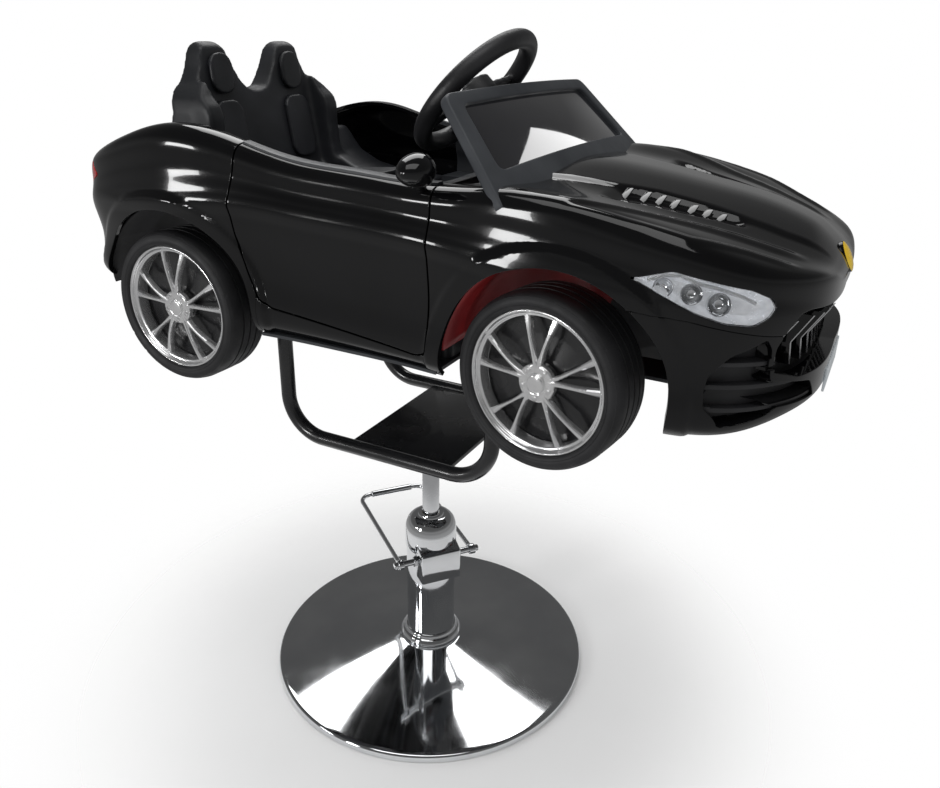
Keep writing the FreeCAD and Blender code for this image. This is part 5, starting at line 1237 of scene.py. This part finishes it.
bm = bmesh.new()
low, high = -0.030, SCREEN_RISE
outer_ring = dense_ring([(-screen_half(low), low), (screen_half(low), low), (screen_half(high), high),
                         (-screen_half(high), high)], 0.016)
hole_low, hole_high, narrow = 0.020, SCREEN_RISE - 0.020, 0.872
foot_half, head_half = screen_half(hole_low) * narrow, screen_half(hole_high) * narrow
inner_ring = dense_ring([(-foot_half, hole_low), (foot_half, hole_low), (head_half, hole_high),
                         (-head_half, hole_high)], 0.014)
edges = []
for ring in (outer_ring, inner_ring):
    verts = [bm.verts.new(screen_at(p.x, p.y, 0.014)) for p in ring]
    edges += [bm.edges.new((a, b)) for a, b in zip(verts, verts[1:] + verts[:1])]
bmesh.ops.bridge_loops(bm, edges=edges)
bmesh.ops.recalc_face_normals(bm, faces=bm.faces)
grown = bmesh.ops.extrude_face_region(bm, geom=list(bm.faces), use_keep_orig=True)
moved = [g for g in grown["geom"] if isinstance(g, bmesh.types.BMVert)]
bmesh.ops.translate(bm, vec=SCREEN_OUT * -0.014, verts=moved)
bmesh.ops.recalc_face_normals(bm, faces=bm.faces)
round_edges(bm, list(bm.faces), 0.0032, 4, 50)
hand_over("windscreen_surround", bm, "carrier", [frame_grey], ["windscreen_frame"])

bm = bmesh.new()
bmesh.ops.create_grid(bm, x_segments=40, y_segments=20, size=1)
for v in bm.verts:
    s, t = v.co.x, v.co.y
    rise = hole_low - 0.003 + (t + 1) / 2 * (hole_high - hole_low + 0.006)
    dome = 0.006 * (1 - s * s) * (1 - t * t)
    v.co = screen_at(s * (screen_half(rise) * narrow + 0.003), rise, 0.0075 + dome)
bmesh.ops.recalc_face_normals(bm, faces=bm.faces)
bmesh.ops.solidify(bm, geom=list(bm.faces), thickness=0.003)
pane = hand_over("windscreen_acrylic", bm, "carrier", [smoked], ["windscreen_pane"])

# %% [markdown]
# The seat, its pads and the steering wheel are soft moulded shapes. The CAD solids have the
# right form but hard meeting lines, so each is copied, wrapped in an even net of small cells and relaxed,
# which rounds every inner and outer corner as a mould does.

# %% Moulded pieces
bpy.context.view_layer.update()


def moulded(name, nodes, body, material, cell, relax):
    """A rounded copy of CAD solids."""
    bm = bmesh.new()
    for node in nodes:
        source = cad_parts[node]
        known = set(bm.verts)
        bm.from_mesh(source.data)
        fresh = [v for v in bm.verts if v not in known]
        bmesh.ops.transform(bm, matrix=source.matrix_world, verts=fresh)
    bmesh.ops.remove_doubles(bm, verts=bm.verts, dist=1e-5)
    bmesh.ops.recalc_face_normals(bm, faces=bm.faces)
    for face in bm.faces:
        face.material_index = 0
    piece = hand_over(name, bm, body, [material], nodes, 180)
    refine(piece, "REMESH", "even_net", mode="VOXEL", voxel_size=cell, use_smooth_shade=True)
    refine(piece, "SMOOTH", "relaxed", factor=0.5, iterations=relax)
    return piece


moulded("seat_moulding", ["seat_shell"], "carrier", seat_plastic, 0.0040, 9)
moulded("seat_cushions", ["seat_pads"], "carrier", seat_plastic, 0.0022, 8)
moulded("steering_rim", ["steering_wheel"], "steering", satin_black, 0.0021, 6)

# %% [markdown]
# A door mirror is an egg-shaped shell cut flat at the back, on a short round arm. The shell starts as a
# ball of small triangles; the part behind the cut is pressed flat, and the glass sits in that flat.

# %% Mirrors
MIRROR_X, MIRROR_Y, MIRROR_Z = 0.154, 0.303, 1.006

for hand, sign in (("right", -1), ("left", 1)):
    bm = bmesh.new()
    bmesh.ops.create_icosphere(bm, subdivisions=5, radius=1)
    for v in bm.verts:
        v.co.x = max(v.co.x, -0.62)
        v.co.z *= 1 - 0.22 * v.co.y * sign
    bmesh.ops.scale(bm, vec=(0.0235, 0.0295, 0.0205), verts=bm.verts)
    bmesh.ops.smooth_vert(bm, verts=bm.verts, factor=0.5, use_axis_x=True, use_axis_y=True, use_axis_z=True)
    bmesh.ops.translate(bm, vec=(MIRROR_X, MIRROR_Y * sign, MIRROR_Z), verts=bm.verts)
    arm = bmesh.new()
    arm_line = [(0.139, 0.262 * sign, 0.972), (0.144, 0.276 * sign, 0.984), (MIRROR_X, 0.296 * sign, 1.000)]
    rod_mesh(arm, bent(arm_line, 0.010, 8), 0.0075)
    joined(bm, arm)
    hand_over("mirror_shell_" + hand, bm, hand + "_door", [gloss_black], ["mirror_" + hand])
    bm = bmesh.new()
    glass = [(0.0, 0.0), (0.0140, 0.0), (0.0150, -0.0008), (0.0150, -0.0030), (0.0, -0.0030)]
    turn(bm, softened(glass, 0.0003, 2, False), (0, 0, 0), (-1, 0, 0), 64)
    bmesh.ops.scale(bm, vec=(1, 1.40, 0.92), verts=bm.verts)
    bmesh.ops.translate(bm, vec=(MIRROR_X - 0.0155, MIRROR_Y * sign, MIRROR_Z), verts=bm.verts)
    hand_over("mirror_face_" + hand, bm, hand + "_door", [mirror_glass])

# %% [markdown]
# Behind the seat a ledge joins the tub to the rear clip, so nobody looks through the car from above. It is
# shaped like a U around the seat's back and lies just over the rear wheel wells.

# %% Ledge behind the seat
bm = bmesh.new()
limb = [(-0.255, 0.186), (-0.255, 0.256), (-0.415, 0.256), (-0.462, 0.236)]
ledge = [(x, -y) for x, y in limb] + limb[::-1] + [(-0.372, 0.186), (-0.372, -0.186)]
faces = slab(bm, [Vector((x, y, 0.904)) for x, y in ledge], 0.003)
round_edges(bm, faces, 0.0008, 2, 60)
hand_over("seat_back_ledge", bm, "carrier", [satin_black])

# %% [markdown]
# The wheel wells are lined with moulded shells. The photograph shows deep red behind the front wheel, and
# black in the rear wells and at the front of the front one, so the copies carry both finishes.

# %% Wheel wells
bm = bmesh.new()
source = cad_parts["wheel_liners"]
bm.from_mesh(source.data)
bmesh.ops.transform(bm, matrix=source.matrix_world, verts=bm.verts)
bmesh.ops.remove_doubles(bm, verts=bm.verts, dist=1e-5)
bmesh.ops.recalc_face_normals(bm, faces=bm.faces)
for face in bm.faces:
    face.material_index = 0 if 0.10 < face.calc_center_median().x < 0.372 else 1
hand_over("well_linings", bm, "carrier", [liner_red, satin_black], ["wheel_liners"])

# %% [markdown]
# Parts that sit deep inside, or that are plain turned and bent metal, are right as they come from the CAD
# model. They keep their shape and take the finish of the real thing.

# %% Pieces kept from the CAD model
keep_cad(["chassis_pan", "cockpit_tub", "dashboard", "horn_button", "door_trim_right", "door_trim_left"],
         satin_grey)

# %% [markdown]
# The picture stands on plain white. Only a round patch of pale floor under the chair catches its soft
# shadow, and the patch thins out to nothing before its edge, so no horizon line shows.

# %% Floor
bm = bmesh.new()
bmesh.ops.create_circle(bm, cap_ends=True, segments=96, radius=1.6)
floor_mesh = bpy.data.meshes.new("studio_floor")
bm.to_mesh(floor_mesh)
bm.free()
floor = bpy.data.objects.new("studio_floor", floor_mesh)
bpy.context.scene.collection.objects.link(floor)
floor_paint = finish("studio_floor_paint", (0.90, 0.90, 0.90), (0.93, 0.93, 0.93), (0.6, 0.7),
                     grain=(200, 0.02), patch=2, specular=0.1)
tree = floor_paint.node_tree
place = tree.nodes.new("ShaderNodeTexCoord")
reach = tree.nodes.new("ShaderNodeVectorMath")
reach.operation = "LENGTH"
tree.links.new(place.outputs["Object"], reach.inputs[0])
fade = tree.nodes.new("ShaderNodeMapRange")
fade.interpolation_type = "SMOOTHERSTEP"
fade.inputs["From Min"].default_value = 0.34
fade.inputs["From Max"].default_value = 0.86
fade.inputs["To Min"].default_value = 0.0
fade.inputs["To Max"].default_value = 1.0
tree.links.new(reach.outputs["Value"], fade.inputs["Value"])
thin = tree.nodes.new("ShaderNodeBsdfTransparent")
blend = tree.nodes.new("ShaderNodeMixShader")
tree.links.new(fade.outputs["Result"], blend.inputs["Fac"])
tree.links.new(tree.nodes["Principled BSDF"].outputs["BSDF"], blend.inputs[1])
tree.links.new(thin.outputs["BSDF"], blend.inputs[2])
tree.links.new(blend.outputs["Shader"], tree.nodes["Material Output"].inputs["Surface"])
floor_mesh.materials.append(floor_paint)
floor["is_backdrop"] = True

# %% [markdown]
# Gloss black shows nothing but what it reflects. The photograph was taken in a dim room with bright windows,
# so rays that mirror off the paint meet a dark surround, and the windows are soft boxes: two low ones on the
# camera's side that put the bright bands on the haunch and the front wing, one overhead that lights the near
# half of the chrome base and the louvres, a broad faint one above, and one on the far side. That last one is
# flagged so that it lights the windscreen's pane alone, where the photograph shows a window.

# %% World and soft boxes
world = bpy.data.worlds.new("studio")
bpy.context.scene.world = world
world.use_nodes = True
tree = world.node_tree
tree.nodes.clear()
output = tree.nodes.new("ShaderNodeOutputWorld")
even = tree.nodes.new("ShaderNodeBackground")
even.inputs["Color"].default_value = (1, 1, 1, 1)
even.inputs["Strength"].default_value = 0.62
seen = tree.nodes.new("ShaderNodeBackground")
seen.inputs["Strength"].default_value = 1.0
white = tree.nodes.new("ShaderNodeBackground")
white.inputs["Color"].default_value = (1, 1, 1, 1)
white.inputs["Strength"].default_value = 1.0
where = tree.nodes.new("ShaderNodeTexCoord")
split = tree.nodes.new("ShaderNodeSeparateXYZ")
ramp = tree.nodes.new("ShaderNodeValToRGB")
stops = ((0.0, 0.34), (0.40, 0.30), (0.50, 0.20), (0.56, 0.24), (0.66, 0.10), (1.0, 0.08))
for place, value in stops[2:]:
    ramp.color_ramp.elements.new(place)
for element, (place, value) in zip(ramp.color_ramp.elements, stops):
    element.position = place
    element.color = (value, value, value, 1)
height = tree.nodes.new("ShaderNodeMapRange")
height.inputs["From Min"].default_value = -1
tree.links.new(where.outputs["Generated"], split.inputs["Vector"])
tree.links.new(split.outputs["Z"], height.inputs["Value"])
tree.links.new(height.outputs["Result"], ramp.inputs["Fac"])
tree.links.new(ramp.outputs["Color"], seen.inputs["Color"])
rays = tree.nodes.new("ShaderNodeLightPath")
glossy = tree.nodes.new("ShaderNodeMixShader")
tree.links.new(rays.outputs["Is Glossy Ray"], glossy.inputs["Fac"])
tree.links.new(even.outputs["Background"], glossy.inputs[1])
tree.links.new(seen.outputs["Background"], glossy.inputs[2])
direct = tree.nodes.new("ShaderNodeMixShader")
tree.links.new(rays.outputs["Is Camera Ray"], direct.inputs["Fac"])
tree.links.new(glossy.outputs["Shader"], direct.inputs[1])
tree.links.new(white.outputs["Background"], direct.inputs[2])
tree.links.new(direct.outputs["Shader"], output.inputs["Surface"])


def soft_box(name, place, aim, width, height, power):
    """A rectangular area light at a place, aimed at a point."""
    light = bpy.data.lights.new(name, "AREA")
    light.shape = "RECTANGLE"
    light.size = width
    light.size_y = height
    light.energy = power
    lamp = bpy.data.objects.new(name, light)
    lamp.location = place
    lamp.rotation_euler = (Vector(aim) - Vector(place)).to_track_quat("-Z", "Y").to_euler()
    bpy.context.scene.collection.objects.link(lamp)
    lamp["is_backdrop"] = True
    return lamp


soft_box("overhead", (-0.95, 1.25, 2.7), (0, -0.1, 0.1), 1.9, 1.5, 26)
soft_box("haunch_window", (-2.0, -2.5, 1.22), (-0.2, -0.2, 0.95), 0.55, 0.22, 7)
soft_box("wing_window", (-1.05, -3.0, 1.16), (0.3, -0.3, 0.95), 0.40, 0.75, 19)
soft_box("top_fill", (0.3, -0.9, 3.4), (0, 0, 0.7), 2.4, 1.6, 22)
window = soft_box("far_window", (1.10, 2.6, 1.85), (0.25, 0, 1.0), 0.75, 1.25, 9)
flagged = bpy.data.collections.new("lit_by_far_window")
flagged.objects.link(pane)
window.light_linking.receiver_collection = flagged

# %% [markdown]
# The camera stands where the photograph was taken, a little above the car and off its right front corner.

# %% Camera
lens = bpy.data.cameras.new("photo_view")
lens.sensor_width = 36
lens.lens = 31.76
camera = bpy.data.objects.new("photo_view", lens)
bpy.context.scene.collection.objects.link(camera)
forward = Vector((-0.4172, 0.8152, -0.4018)).normalized()
right = Vector((0.8862, 0.4629, 0.0189))
right = (right - forward * right.dot(forward)).normalized()
above = right.cross(forward)
turn_to = Matrix((right, above, -forward)).transposed().to_4x4()
camera.matrix_world = Matrix.Translation((0.6823, -1.1793, 1.1625)) @ turn_to
bpy.context.scene.camera = camera
bpy.context.scene.view_settings.view_transform = "Standard"

low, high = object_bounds()
print("size", [round(v, 4) for v in (*low, *high)])
